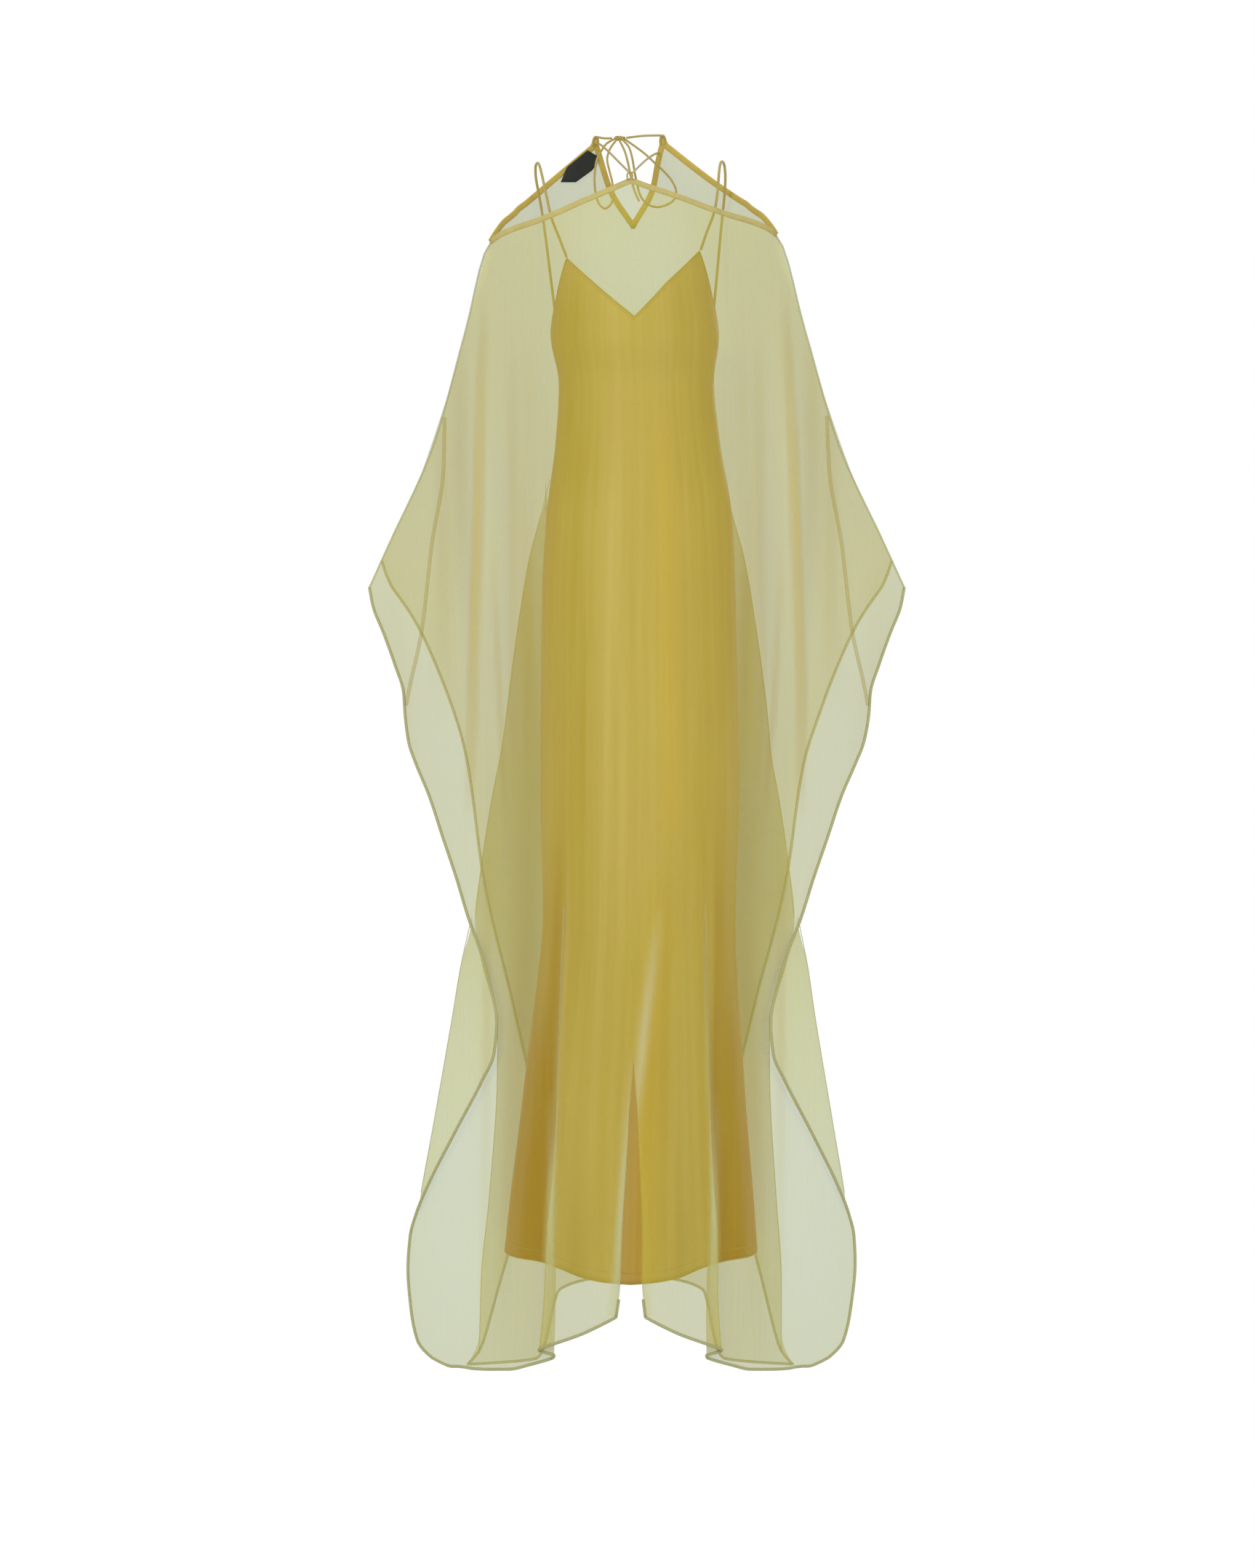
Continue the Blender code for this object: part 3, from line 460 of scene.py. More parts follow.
def cloth_depth(panel, across, down, lift):
    """Depth in metres of a panel: the front panel bulges to -Y, the back to +Y."""
    out = abs(middle_line(down) - across)
    fullness = 1 - min(1.0, out / half_width_line(down)) ** 2
    folds = strips(SOFT_FOLDS, (panel,), out, down) * min(1.0, fullness * 4) + lift
    if panel == "front":
        full = front_depth_line(down) * fullness + opening_line(down)
        return -SEAM_HALF - max(0.0, full + folds) / 1000
    full = back_depth_line(down) * fullness + opening_line(down)
    return SEAM_HALF + max(0.0, full - folds) / 1000


def panel_point(panel, down, across, lift, right):
    """Point of a panel from its place on the left half's chart."""
    depth = cloth_depth(panel, across, down, lift)
    if right:
        across, down = mirrored(across, down)
    return place(across, down, depth)


def from_middle(top, rows):
    """Guide column whose rows give the distance out from the middle line."""
    straight = [(down, rows[0][1], 0) for down in STRAIGHT_DOWNS if down > top]
    rows = rows[:1] + straight + rows[1:]
    return [(down, middle_line(down) - out, lift) for down, out, lift in rows]


def column_places(guides, steps, rows, fineness):
    """Chart places of the left half's grid: one list of (down, across, lift) for each column."""
    positions = []
    for index, count in enumerate(steps):
        parts = count * fineness
        positions += [index + step / parts for step in range(parts)]
    positions.append(len(steps))
    keys = list(range(len(guides)))
    guide_lines = [lines(guide) for guide in guides]
    grid = [[] for position in positions]
    for row in range(rows + 1):
        crossing = []
        for guide, (across_line, lift_line) in zip(guides, guide_lines):
            down = guide[0][0] + (guide[-1][0] - guide[0][0]) * row / rows
            crossing.append((down, across_line(down), lift_line(down)))
        curves = [Line(keys, [c[i] for c in crossing]) for i in range(3)]
        for column, position in zip(grid, positions):
            column.append(tuple(curve(position) for curve in curves))
    return grid


SLIT_GUIDES = [from_middle(254, rows) for rows in SLIT_COLUMNS.values()]
PANELS = {
    "front": (SLIT_GUIDES + list(FRONT_COLUMNS.values()), FRONT_STEPS, 28),
    "back": ([from_middle(314, BACK_MIDDLE)] + list(BACK_COLUMNS.values()), BACK_STEPS, 26),
}
SIDES = (("left", False), ("right", True))


class Value:
    """Shader socket whose arithmetic adds Math nodes."""

    def __init__(self, finish, socket):
        self.finish = finish
        self.socket = socket

    def math(self, operation, *others):
        inputs = dict(enumerate((self,) + others))
        return self.finish.add("ShaderNodeMath", {"operation": operation}, inputs)

    def __add__(self, other):
        return self.math("ADD", other)

    def __sub__(self, other):
        return self.math("SUBTRACT", other)

    def __mul__(self, other):
        return self.math("MULTIPLY", other)

    def sine(self):
        return self.math("SINE")

    def clamped(self, low=0.0, high=1.0):
        return self.math("MAXIMUM", low).math("MINIMUM", high)


class Finish:
    """One material of the garment and the nodes that shape it."""

    def __init__(self, name, colour, roughness, **constants):
        self.material = bpy.data.materials.new(name)
        self.material.use_nodes = True
        self.tree = self.material.node_tree
        self.shader = self.tree.nodes["Principled BSDF"]
        self.material.diffuse_color = (*colour, 1.0)
        self.shader.inputs["Base Color"].default_value = (*colour, 1.0)
        self.shader.inputs["Roughness"].default_value = roughness
        for socket, value in constants.items():
            self.shader.inputs[socket.replace("_", " ")].default_value = value

    def feed(self, socket, value):
        if isinstance(value, Value):
            self.tree.links.new(value.socket, socket)
        else:
            socket.default_value = value

    def add(self, kind, settings, inputs, output=0):
        """New node with its settings and inputs, and one of its outputs."""
        node = self.tree.nodes.new(kind)
        for key, value in settings.items():
            setattr(node, key, value)
        for key, value in inputs.items():
            self.feed(node.inputs[key], value)
        return Value(self, node.outputs[output])

    def cloth_place(self):
        """The cloth's own flat coordinates, in metres along its weft and warp."""
        uv = self.add("ShaderNodeUVMap", {"uv_map": "cloth"}, {})
        return [self.add("ShaderNodeSeparateXYZ", {}, {0: uv}, k) for k in (0, 1)]

    def cloth_noise(self, *stretch, detail=3.0):
        """Noise in the cloth's own coordinates, stretched along its weft and warp."""
        uv = self.add("ShaderNodeUVMap", {"uv_map": "cloth"}, {})
        return self.noise_at(uv, (*stretch, 1.0), detail)

    def noise(self, scale, detail=3.0):
        """Even noise in the object's own coordinates."""
        return self.noise_at(self.add("ShaderNodeTexCoord", {}, {}, "Object"), (scale,) * 3, detail)

    def noise_at(self, spot, scale, detail):
        spot = self.add("ShaderNodeMapping", {}, {"Vector": spot, "Scale": scale})
        return self.add("ShaderNodeTexNoise", {}, {"Vector": spot, "Scale": 1.0, "Detail": detail})

    def weave(self, pitch):
        """Over-and-under threads: 0 between threads and 1 on top of them."""
        across, along = self.cloth_place()
        turn = 2 * math.pi / pitch
        return (across * turn).sine() * (along * turn).sine() * 0.5 + 0.5

    def attribute(self, name):
        return self.add("ShaderNodeAttribute", {"attribute_name": name}, {}, "Fac")

    def mix(self, factor, first, second):
        inputs = {0: factor, 6: self.colour(first), 7: self.colour(second)}
        return self.add("ShaderNodeMix", {"data_type": "RGBA"}, inputs, 2)

    def colour(self, value):
        return value if isinstance(value, Value) else (*value, 1.0)

    def set(self, socket, value):
        self.feed(self.shader.inputs[socket], value)

    def bump(self, height, strength, distance):
        normal = self.add("ShaderNodeBump", {}, {"Strength": strength, "Distance": distance,
                                                 "Height": height})
        self.set("Normal", normal)


def tinted(colour, share):
    return tuple(min(1.0, part * share) for part in colour)


def organza_finish(name, light, deep, highlight_colour, cover):
    """Sheer crisp cloth: fine threads, slubs, a deeper tone where it lies denser, and painted
    highlights on its crests.
    """
    finish = Finish(name, light, 0.6, Specular_IOR_Level=0.15, Sheen_Weight=0.1)
    threads = finish.weave(ORGANZA_PITCH)
    slubs = finish.cloth_noise(220.0, 7.0)
    clouds = finish.cloth_noise(6.0, 2.0, detail=2.0)
    density = finish.attribute("gather")
    pale = finish.attribute("pale").clamped()
    alpha = threads * 0.02 + slubs * 0.08 + clouds * 0.12 + density + pale * HIGHLIGHT_COVER
    finish.set("Alpha", (alpha + (cover - 0.11)).clamped(0.05, 0.96))
    tone = (clouds - 0.5) * 0.5 + (slubs - 0.5) * 0.25 - density * 4.0 + 0.45
    # Where the pale attribute is set, the colour turns to a painted highlight
    finish.set("Base Color", finish.mix(pale, finish.mix(tone.clamped(), deep, light), highlight_colour))
    finish.bump(threads * 0.4 + slubs, 0.05, 0.0003)
    return finish.material


def hem_finish(name, colour, cover):
    """Rolled edge of the sheer cloth, several layers thick."""
    finish = Finish(name, colour, 0.6, Specular_IOR_Level=0.2)
    turns = finish.noise(900.0)
    finish.set("Alpha", (turns * 0.18 + (cover - 0.09)).clamped(0.05, 1.0))
    finish.set("Base Color", finish.mix(turns, tinted(colour, 0.85), tinted(colour, 1.15)))
    finish.bump(turns, 0.5, 0.0004)
    return finish.material


def satin_finish(name, colour, satin_lit_tone, warm, deep):
    """Satin: long soft streaks of painted sheen, warp floats, painted shade and deeper sides."""
    finish = Finish(name, colour, 0.42, Specular_IOR_Level=0.12)
    streaks = finish.cloth_noise(34.0, 1.1)
    fine = finish.cloth_noise(130.0, 1.8)
    floats = finish.cloth_noise(1500.0, 120.0, detail=2.0)
    # light mixes shaded and lit copies of each tone: painted highlights and painted shade
    light = (streaks - 0.5) * 0.8 + (fine - 0.5) * 0.6 + (floats - 0.5) * 0.2
    light = (light + finish.attribute("light") + 0.4).clamped()
    golden = finish.mix(light, tinted(colour, 0.84), satin_lit_tone)
    orange = finish.mix(light, tinted(warm, 0.85), tinted(warm, 1.15))
    tone = finish.mix(finish.attribute("warmth").clamped(), golden, orange)
    depth = finish.mix(light, tinted(deep, 0.86), tinted(deep, 1.14))
    finish.set("Base Color", finish.mix(finish.attribute("shade").clamped(), tone, depth))
    finish.set("Roughness", (streaks * 0.14 + floats * 0.10 + 0.30).clamped(0.2, 0.8))
    finish.bump(floats * 0.6 + streaks * 2.0, 0.18, 0.0006)
    return finish.material


def binding_finish(name, colour, cover=1.0):
    """Folded bias binding: a slanting weave and a slightly worn fold."""
    finish = Finish(name, colour, 0.55, Specular_IOR_Level=0.3, Sheen_Weight=0.2)
    grain = finish.noise(1500.0, 2.0)
    patches = finish.noise(60.0)
    shade = (grain * 0.45 + patches * 0.55).clamped()
    finish.set("Base Color", finish.mix(shade, tinted(colour, 0.74), tinted(colour, 1.26)))
    finish.set("Roughness", (grain * 0.25 + 0.42).clamped())
    if cover < 1.0:
        finish.set("Alpha", (grain * 0.2 + patches * 0.2 + (cover - 0.2)).clamped())
    finish.bump(grain, 0.4, 0.0004)
    return finish.material


def thread_finish(name, colour):
    """Sewing thread with its own twist."""
    finish = Finish(name, colour, 0.5, Specular_IOR_Level=0.3)
    ply = finish.noise(3000.0, 1.0)
    finish.set("Base Color", finish.mix(ply, tinted(colour, 0.75), tinted(colour, 1.2)))
    finish.bump(ply, 0.4, 0.0002)
    return finish.material


def label_finish(name, colour):
    """Bare woven label: close damask threads with a faint sheen."""
    finish = Finish(name, colour, 0.5, Specular_IOR_Level=0.35, Sheen_Weight=0.1)
    threads = finish.weave(0.0007)
    fuzz = finish.noise(800.0, 2.0)
    shade = (threads * 0.6 + fuzz * 0.4).clamped()
    finish.set("Base Color", finish.mix(shade, tinted(colour, 0.6), tinted(colour, 1.5)))
    finish.set("Roughness", (fuzz * 0.3 + 0.35).clamped())
    finish.bump(threads, 0.4, 0.0003)
    return finish.material


def linked(name, data):
    """New object in the scene."""
    thing = bpy.data.objects.new(name, data)
    bpy.context.scene.collection.objects.link(thing)
    return thing


def evaluated_mesh(thing):
    """Mesh of an object with its modifiers applied."""
    depsgraph = bpy.context.evaluated_depsgraph_get()
    return bpy.data.meshes.new_from_object(thing.evaluated_get(depsgraph))


def finished_mesh(name, mesh, material):
    """Mesh data from a bmesh, with its one material."""
    data = bpy.data.meshes.new(name)
    mesh.to_mesh(data)
    mesh.free()
    data.materials.append(material)
    return data


def ring_faces(mesh, first, second):
    """Smooth faces that join two closed rings of vertices."""
    for k, (start, end) in enumerate(zip(first, second)):
        following = (k + 1) % len(first)
        mesh.faces.new((start, first[following], second[following], end)).smooth = True


def add_piece(name, mesh, slot_name, *nodes):
    """A finished piece that rides on the garment and stands for its solids."""
    thing = linked(name, mesh)
    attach(thing, "root")
    if nodes:
        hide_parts(*nodes)
    return thing


def grid_mesh(name, grids, material, out_of, flat_places, attributes):
    """Cloth from grids of points; out_of says which way its outer face looks at a point."""
    mesh = bmesh.new()
    uv_layer = mesh.loops.layers.uv.new("cloth")
    layers = {key: mesh.verts.layers.float.new(key) for key in attributes}
    flats = {}
    for g, grid in enumerate(grids):
        rows = []
        for c, column in enumerate(grid):
            rows.append([mesh.verts.new(point) for point in column])
            for r, vert in enumerate(rows[-1]):
                flats[vert] = flat_places[g][c][r]
                for key, layer in layers.items():
                    vert[layer] = attributes[key][g][c][r]
        for left, right in zip(rows, rows[1:]):
            for r in range(len(left) - 1):
                face = mesh.faces.new((left[r], left[r + 1], right[r + 1], right[r]))
                face.smooth = True
                for loop in face.loops:
                    loop[uv_layer].uv = flats[loop.vert]
    bmesh.ops.remove_doubles(mesh, verts=mesh.verts, dist=GRID_WELD)
    bmesh.ops.recalc_face_normals(mesh, faces=mesh.faces)
    mesh.faces.ensure_lookup_table()
    agree = sum(face.normal.dot(out_of(face.calc_center_median())) * face.calc_area()
                for face in mesh.faces)
    if agree < 0:
        bmesh.ops.reverse_faces(mesh, faces=mesh.faces)
    return finished_mesh(name, mesh, material)


def wire(tree, kinds, links, **known):
    """Adds nodes to a tree, and links given as node, output, node, input."""
    nodes = dict(known)
    for key, (kind, settings) in kinds.items():
        nodes[key] = tree.nodes.new(kind)
        for name, value in settings.items():
            setattr(nodes[key], name, value)
    for source, output, target, entry in links:
        tree.links.new(nodes[source].outputs[output], nodes[target].inputs[entry])
    return nodes


def new_tree(name, inputs):
    """Geometry Nodes tree with a curve input, named sizes and a mesh output."""
    tree = bpy.data.node_groups.new(name, "GeometryNodeTree")
    tree.is_modifier = True
    tree.interface.new_socket("Curve", in_out="INPUT", socket_type="NodeSocketGeometry")
    for key, kind in inputs.items():
        tree.interface.new_socket(key, in_out="INPUT", socket_type=kind)
    tree.interface.new_socket("Mesh", in_out="OUTPUT", socket_type="NodeSocketGeometry")
    return tree


def finish_tree(tree, nodes, last, output):
    """Ends a tree with smooth shading, real instances and its material."""
    wire(tree, {"real": ("GeometryNodeRealizeInstances", {}),
                "smooth": ("GeometryNodeSetShadeSmooth", {}),
                "paint": ("GeometryNodeSetMaterial", {}),
                "out": ("NodeGroupOutput", {})},
         [("last", output, "smooth", 0), ("smooth", 0, "real", 0), ("real", 0, "paint", 0),
          ("in", "Material", "paint", "Material"), ("paint", 0, "out", 0)],
         last=nodes[last], **{"in": nodes["in"]})
    return tree


def swept_tree():
    """A round cord, roll or crease along a curve, with closed ends."""
    tree = new_tree("swept_roll", {"Radius": "NodeSocketFloat", "Sides": "NodeSocketInt",
                                   "Material": "NodeSocketMaterial"})
    nodes = wire(tree, {"in": ("NodeGroupInput", {}),
                        "round": ("GeometryNodeCurvePrimitiveCircle", {}),
                        "sweep": ("GeometryNodeCurveToMesh", {})},
                 [("in", "Radius", "round", "Radius"), ("in", "Sides", "round", "Resolution"),
                  ("in", "Curve", "sweep", "Curve"), ("round", "Curve", "sweep", "Profile Curve")])
    nodes["sweep"].inputs["Fill Caps"].default_value = True
    return finish_tree(tree, nodes, "sweep", "Mesh")


def stitch_tree():
    """Even stitches along a curve."""
    tree = new_tree("stitch_row", {"Spacing": "NodeSocketFloat", "Length": "NodeSocketFloat",
                                   "Radius": "NodeSocketFloat", "Material": "NodeSocketMaterial"})
    nodes = wire(tree, {"in": ("NodeGroupInput", {}),
                        "points": ("GeometryNodeCurveToPoints", {"mode": "LENGTH"}),
                        "stitch": ("GeometryNodeMeshCylinder", {}),
                        "row": ("GeometryNodeInstanceOnPoints", {})},
                 [("in", "Curve", "points", "Curve"), ("in", "Spacing", "points", "Length"),
                  ("in", "Radius", "stitch", "Radius"), ("in", "Length", "stitch", "Depth"),
                  ("points", "Points", "row", "Points"), ("points", "Rotation", "row", "Rotation"),
                  ("stitch", "Mesh", "row", "Instance")])
    nodes["stitch"].inputs["Vertices"].default_value = STITCH_SIDES
    return finish_tree(tree, nodes, "row", "Instances")


def along_curve(name, paths, tree, values):
    """Plain mesh of a tree run along one or more paths."""
    curve = bpy.data.curves.new(name + "_path", "CURVE")
    curve.dimensions = "3D"
    for path in paths:
        spline = curve.splines.new("POLY")
        spline.points.add(len(path) - 1)
        for point, spot in zip(spline.points, path):
            point.co = (*spot, 1.0)
    guide = linked(name + "_path", curve)
    modifier = guide.modifiers.new("nodes", "NODES")
    modifier.node_group = tree
    for item in tree.interface.items_tree:
        if item.in_out == "INPUT" and item.name in values:
            modifier[item.identifier] = values[item.name]
    mesh = evaluated_mesh(guide)
    mesh.name = name
    bpy.data.objects.remove(guide, do_unlink=True)
    bpy.data.curves.remove(curve)
    weld_and_turn_out(mesh)
    return mesh


def weld_and_turn_out(mesh):
    work = bmesh.new()
    work.from_mesh(mesh)
    bmesh.ops.remove_doubles(work, verts=work.verts, dist=CURVE_WELD)
    bmesh.ops.recalc_face_normals(work, faces=work.faces)
    work.to_mesh(mesh)
    work.free()


def roll(name, paths, radius, sides, finish, slot_name, *nodes):
    values = {"Radius": radius, "Sides": sides, "Material": finish}
    return add_piece(name, along_curve(name, paths, trees["swept"], values), slot_name, *nodes)


def stitches(name, paths, spacing, finish, slot_name):
    values = {"Spacing": spacing, "Length": spacing * STITCH_SHARE, "Radius": STITCH_RADIUS,
              "Material": finish}
    return add_piece(name, along_curve(name, paths, trees["stitch"], values), slot_name)


def smooth_path(places, count):
    """Evenly spaced points of the smooth curve through places of the chart, depth in mm."""
    knots = [place(across, down, depth / 1000) for down, across, depth in places]
    lengths = [0.0]
    for before, after in zip(knots, knots[1:]):
        lengths.append(lengths[-1] + (after - before).length)
    tangents = []
    for i in range(len(knots)):
        before = max(i - 1, 0)
        after = min(i + 1, len(knots) - 1)
        tangents.append((knots[after] - knots[before]) / (lengths[after] - lengths[before]))
    points = []
    for step in range(count):
        at = lengths[-1] * step / (count - 1)
        i = min(bisect_right(lengths, at) - 1, len(knots) - 2)
        span = lengths[i + 1] - lengths[i]
        points.append(between((at - lengths[i]) / span, span, knots[i], tangents[i],
                              knots[i + 1], tangents[i + 1]))
    return points


def path_length(points):
    return sum((b - a).length for a, b in zip(points, points[1:]))


def wavering(point, scale, seed):
    """Soft unevenness from -1 to 1 at a point, the same each run."""
    return noise.noise(point * scale + Vector((seed, seed * 1.7, 0)))


def panel_grids(panel, fineness, row_fineness):
    """Left and right grids of a panel, flat places, dense strips and painted crest highlights."""
    guides, steps, rows = PANELS[panel]
    places = column_places(guides, steps, rows * row_fineness, fineness)
    out_sign = -1 if panel == "front" else 1
    layers = grids, flats, dense, pale = [], [], [], []
    for side, right in SIDES:
        names = (panel, panel + "_" + side)
        for layer in layers:
            layer.append([])
        for index, column in enumerate(places):
            fade = RETURN_FADE * max(0.0, 1 - index / fineness) if panel == "front" else 0.0
            for layer in layers:
                layer[-1].append([])
            for down, across, lift in column:
                point = panel_point(panel, down, across, lift, right)
                slack = min(1.0, abs(point.y) / SLACK_DEPTH)
                point.y += out_sign * slack * WAVER * wavering(point, 9.0, 3.0)
                point.y += out_sign * slack * WAVER * 0.5 * wavering(point, 24.0, 8.0)
                out = middle_line(down) - across
                flat = (CHART_CENTRE - across) * UNIT * (-1 if right else 1)
                thin = fade * min(1.0, max(0.0, (down - FADE_START) / FADE_REACH))
                values = (point, (flat, down * UNIT),
                          strips(DENSE_STRIPS, names, out, down, STRIP_CRISPNESS) - thin,
                          # The last value is the share of painted highlight on the crests
                          strips(HIGHLIGHT_STRIPS, names, out, down))
                for layer, value in zip(layers, values):
                    layer[-1][-1].append(value)
    for left_point, right_point in zip(grids[0][0], grids[1][0]):
        if (left_point - right_point).length < MIDDLE_WELD:
            middle = (left_point + right_point) / 2
            left_point[:] = middle
            right_point[:] = middle
    return grids, flats, dense, pale


def edge_frames(surface, edge, rows_inside):
    """Ways into the cloth and out of its front face at each point of a panel's edge."""
    inward, outward = [], []
    for index, point in enumerate(edge):
        along = edge[min(index + 1, len(edge) - 1)] - edge[max(index - 1, 0)]
        face = along.cross(rows_inside[index] - point).normalized()
        if face.y > 0:
            face.negate()
        into = face.cross(along).normalized()
        if into.dot(rows_inside[index] - point) < 0:
            into.negate()
        seat = surface.find_nearest(point + into * BINDING_WIDTH)[0]
        inward.append((seat - point).normalized())
        outward.append((face - inward[index] * face.dot(inward[index])).normalized())
    return inward, outward


def band_mesh(name, edge, inward, outward, material):
    """Folded band beyond a cloth edge: a soft flat loop in section, closed at its ends."""
    half = BINDING_WALL / 2
    near = BINDING_OVERLAP
    far = -SEAM_GAP - BINDING_WIDTH
    upper = [(near, half * 0.5), (near - 0.0006, half * 0.86), (near - 0.0016, half * 0.80),
             (near - 0.0034, half * 0.94), (far + half, half * 0.92),
             (far + half * 0.3, half * 0.55)]
    lower = [(along, -across) for along, across in upper]
    profile = lower[:1] + upper + [(far, 0)] + lower[:0:-1]
    mesh = bmesh.new()
    rings = []
    for point, into, out in zip(edge, inward, outward):
        swell = 1 + 0.10 * wavering(point, 90.0, 5.0)
        rings.append([mesh.verts.new(point + into * along + out * across * swell)
                      for along, across in profile])
    for first, second in zip(rings, rings[1:]):
        ring_faces(mesh, first, second)
    mesh.faces.new(rings[0][::-1])
    mesh.faces.new(rings[-1])
    bmesh.ops.recalc_face_normals(mesh, faces=mesh.faces)
    return finished_mesh(name, mesh, material)


def bind_edge(name, surface, columns, rows_down, finish, extra=None):
    """Binding and its two rows of stitches along the tops of some grid columns."""
    edge = [column[0].copy() for column in columns]
    inward, outward = edge_frames(surface, edge, [column[rows_down] for column in columns])
    if extra is not None:
        edge.append(extra)
        inward.append(inward[-1])
        outward.append(outward[-1])
    band = band_mesh(name + "_band", edge, inward, outward, finish)
    add_piece(name + "_band", band, "binding", name)
    rows = []
    for side in (1, -1):
        lift = BINDING_WALL / 2 * BINDING_BULGE * side
        rows.append([p + i * 0.0008 + o * lift for p, i, o in zip(edge, inward, outward)])
    stitches(name + "_stitches", rows, BINDING_STITCH, finishes["thread"], "binding")


def slip_edge(angle):
    """The slip's even top edge: a V in front, up to the strap points, and a low straight back."""
    turn = abs(angle if angle <= 180 else angle - 360)
    if turn > 90:
        side = math.sin(math.radians(turn)) ** 2
        return SLIP_BACK_DOWN + (SLIP_SIDE_DOWN - SLIP_BACK_DOWN) * side
    if turn > SLIP_STRAP_ANGLE:
        t = (turn - SLIP_STRAP_ANGLE) / (90 - SLIP_STRAP_ANGLE)
        return SLIP_STRAP_DOWN + (SLIP_SIDE_DOWN - SLIP_STRAP_DOWN) * t ** 1.15
    t = math.sin(math.radians(turn)) / math.sin(math.radians(SLIP_STRAP_ANGLE))
    return SLIP_V_DOWN + (SLIP_STRAP_DOWN - SLIP_V_DOWN) * t


def slip_top(angle):
    """Top edge of the slip, a little higher on its right side."""
    down = slip_edge(angle)
    return down - right_rise(slip_half(down) * math.sin(math.radians(angle)), down)


def slip_hem(angle):
    return slip_hem_line(abs(angle if angle <= 180 else angle - 360))


# Rolled edges of the slip, and its rows of stitches: line, shift down the chart, mm outwards
SLIP_ROLLS = {"edge": (slip_top, 0.4, 0.1), "hem": (slip_hem, -0.5, 0.0)}
SLIP_STITCHES = ((slip_top, 5, 0.6), (slip_hem, -15, 0.6))


def along_slip(angles, line, shift, outwards):
    return [slip_point(angle, line(angle) + shift, outwards) for angle in angles]


def satin_drape(angle, down):
    """How far in mm the satin's folds stand out or in."""
    wanted = angle if angle > -90 else angle + 360
    total = 0.0
    for top_angle, hem_angle, reach, height, start in SATIN_FOLDS:
        t = min(1.0, max(0.0, (down - start) / (SLIP_HEM_SIDE - start)))
        crest = top_angle + (hem_angle - top_angle) * t
        apart = min(abs(wanted - crest), 360 - abs(wanted - crest))
        total += height * t ** 1.2 * (math.exp(-(apart / reach) ** 2)
                                      - 0.45 * math.exp(-(apart / (2.2 * reach)) ** 2))
    return total


def slip_point(angle, down, outwards=0.0):
    """Point of the slip; angle 0 is the front, 180 the back, and outwards is in mm."""
    turn = math.radians(angle)
    swell = satin_drape(angle, down) + outwards
    across = slip_middle(down) + (slip_half(down) + swell / UNIT / 1000) * math.sin(turn)
    return place(across, down, -(slip_depth(down) + swell) / 1000 * math.cos(turn))


def slip_grid(angles, rows):
    grid, flat, tones = [], [], {"shade": [], "light": [], "warmth": []}
    for angle in angles:
        downs = spread(slip_top(angle), slip_hem(angle), rows)
        grid.append([slip_point(angle, down) for down in downs])
        flat.append([(math.radians(angle) * SATIN_FLAT_RADIUS, down * UNIT) for down in downs])
        # shade: painted shade where the slip turns away, and its deeper side bands; light: painted
        # highlights and shade
        tones["shade"].append([side_shade(angle, down) for down in downs])
        tones["light"].append([satin_streak(angle, down, 5) for down in downs])
        tones["warmth"].append([satin_streak(angle, down, 6) for down in downs])
    return grid, flat, tones


def side_shade(angle, down):
    """Deeper tone of the slip's lower side bands, and some painted shade where it turns away."""
    side = abs(math.sin(math.radians(angle)))
    past = (slip_half(down) * side - band_start_line(down)) / SIDE_BLUR + 0.5
    return max(min(1.0, max(0.0, past)) * band_share_line(down), 0.55 * side ** 8)


def satin_streak(angle, down, column):
    """Painted highlight and shade, or warmth, that the satin's streaks add at a place."""
    out = slip_half(down) * math.sin(math.radians(angle))
    total = 0.0
    for row in SATIN_STREAKS:
        top, top_out, bottom, bottom_out, half_width = row[:5]
        if top < down < bottom:
            t = (down - top) / (bottom - top)
            crest = top_out + (bottom_out - top_out) * t
            nearness = math.exp(-((out - crest) / half_width) ** 2)
            total += row[column] * min(1.0, 6 * t, 6 * (1 - t)) * nearness
    return total


def solid_cloth(mesh, thickness):
    """Gives an open cloth mesh a thin wall, through a Solidify modifier."""
    thing = linked("wall", mesh)
    wall = thing.modifiers.new("wall", "SOLIDIFY")
    wall.thickness = thickness
    wall.offset = 0.0
    walled = evaluated_mesh(thing)
    bpy.data.objects.remove(thing, do_unlink=True)
    return walled


def colour_property(name, description, default):
    return FloatVectorProperty(name=name, description=description, default=default, size=3,
                               subtype="COLOR", min=0.0, max=1.0)


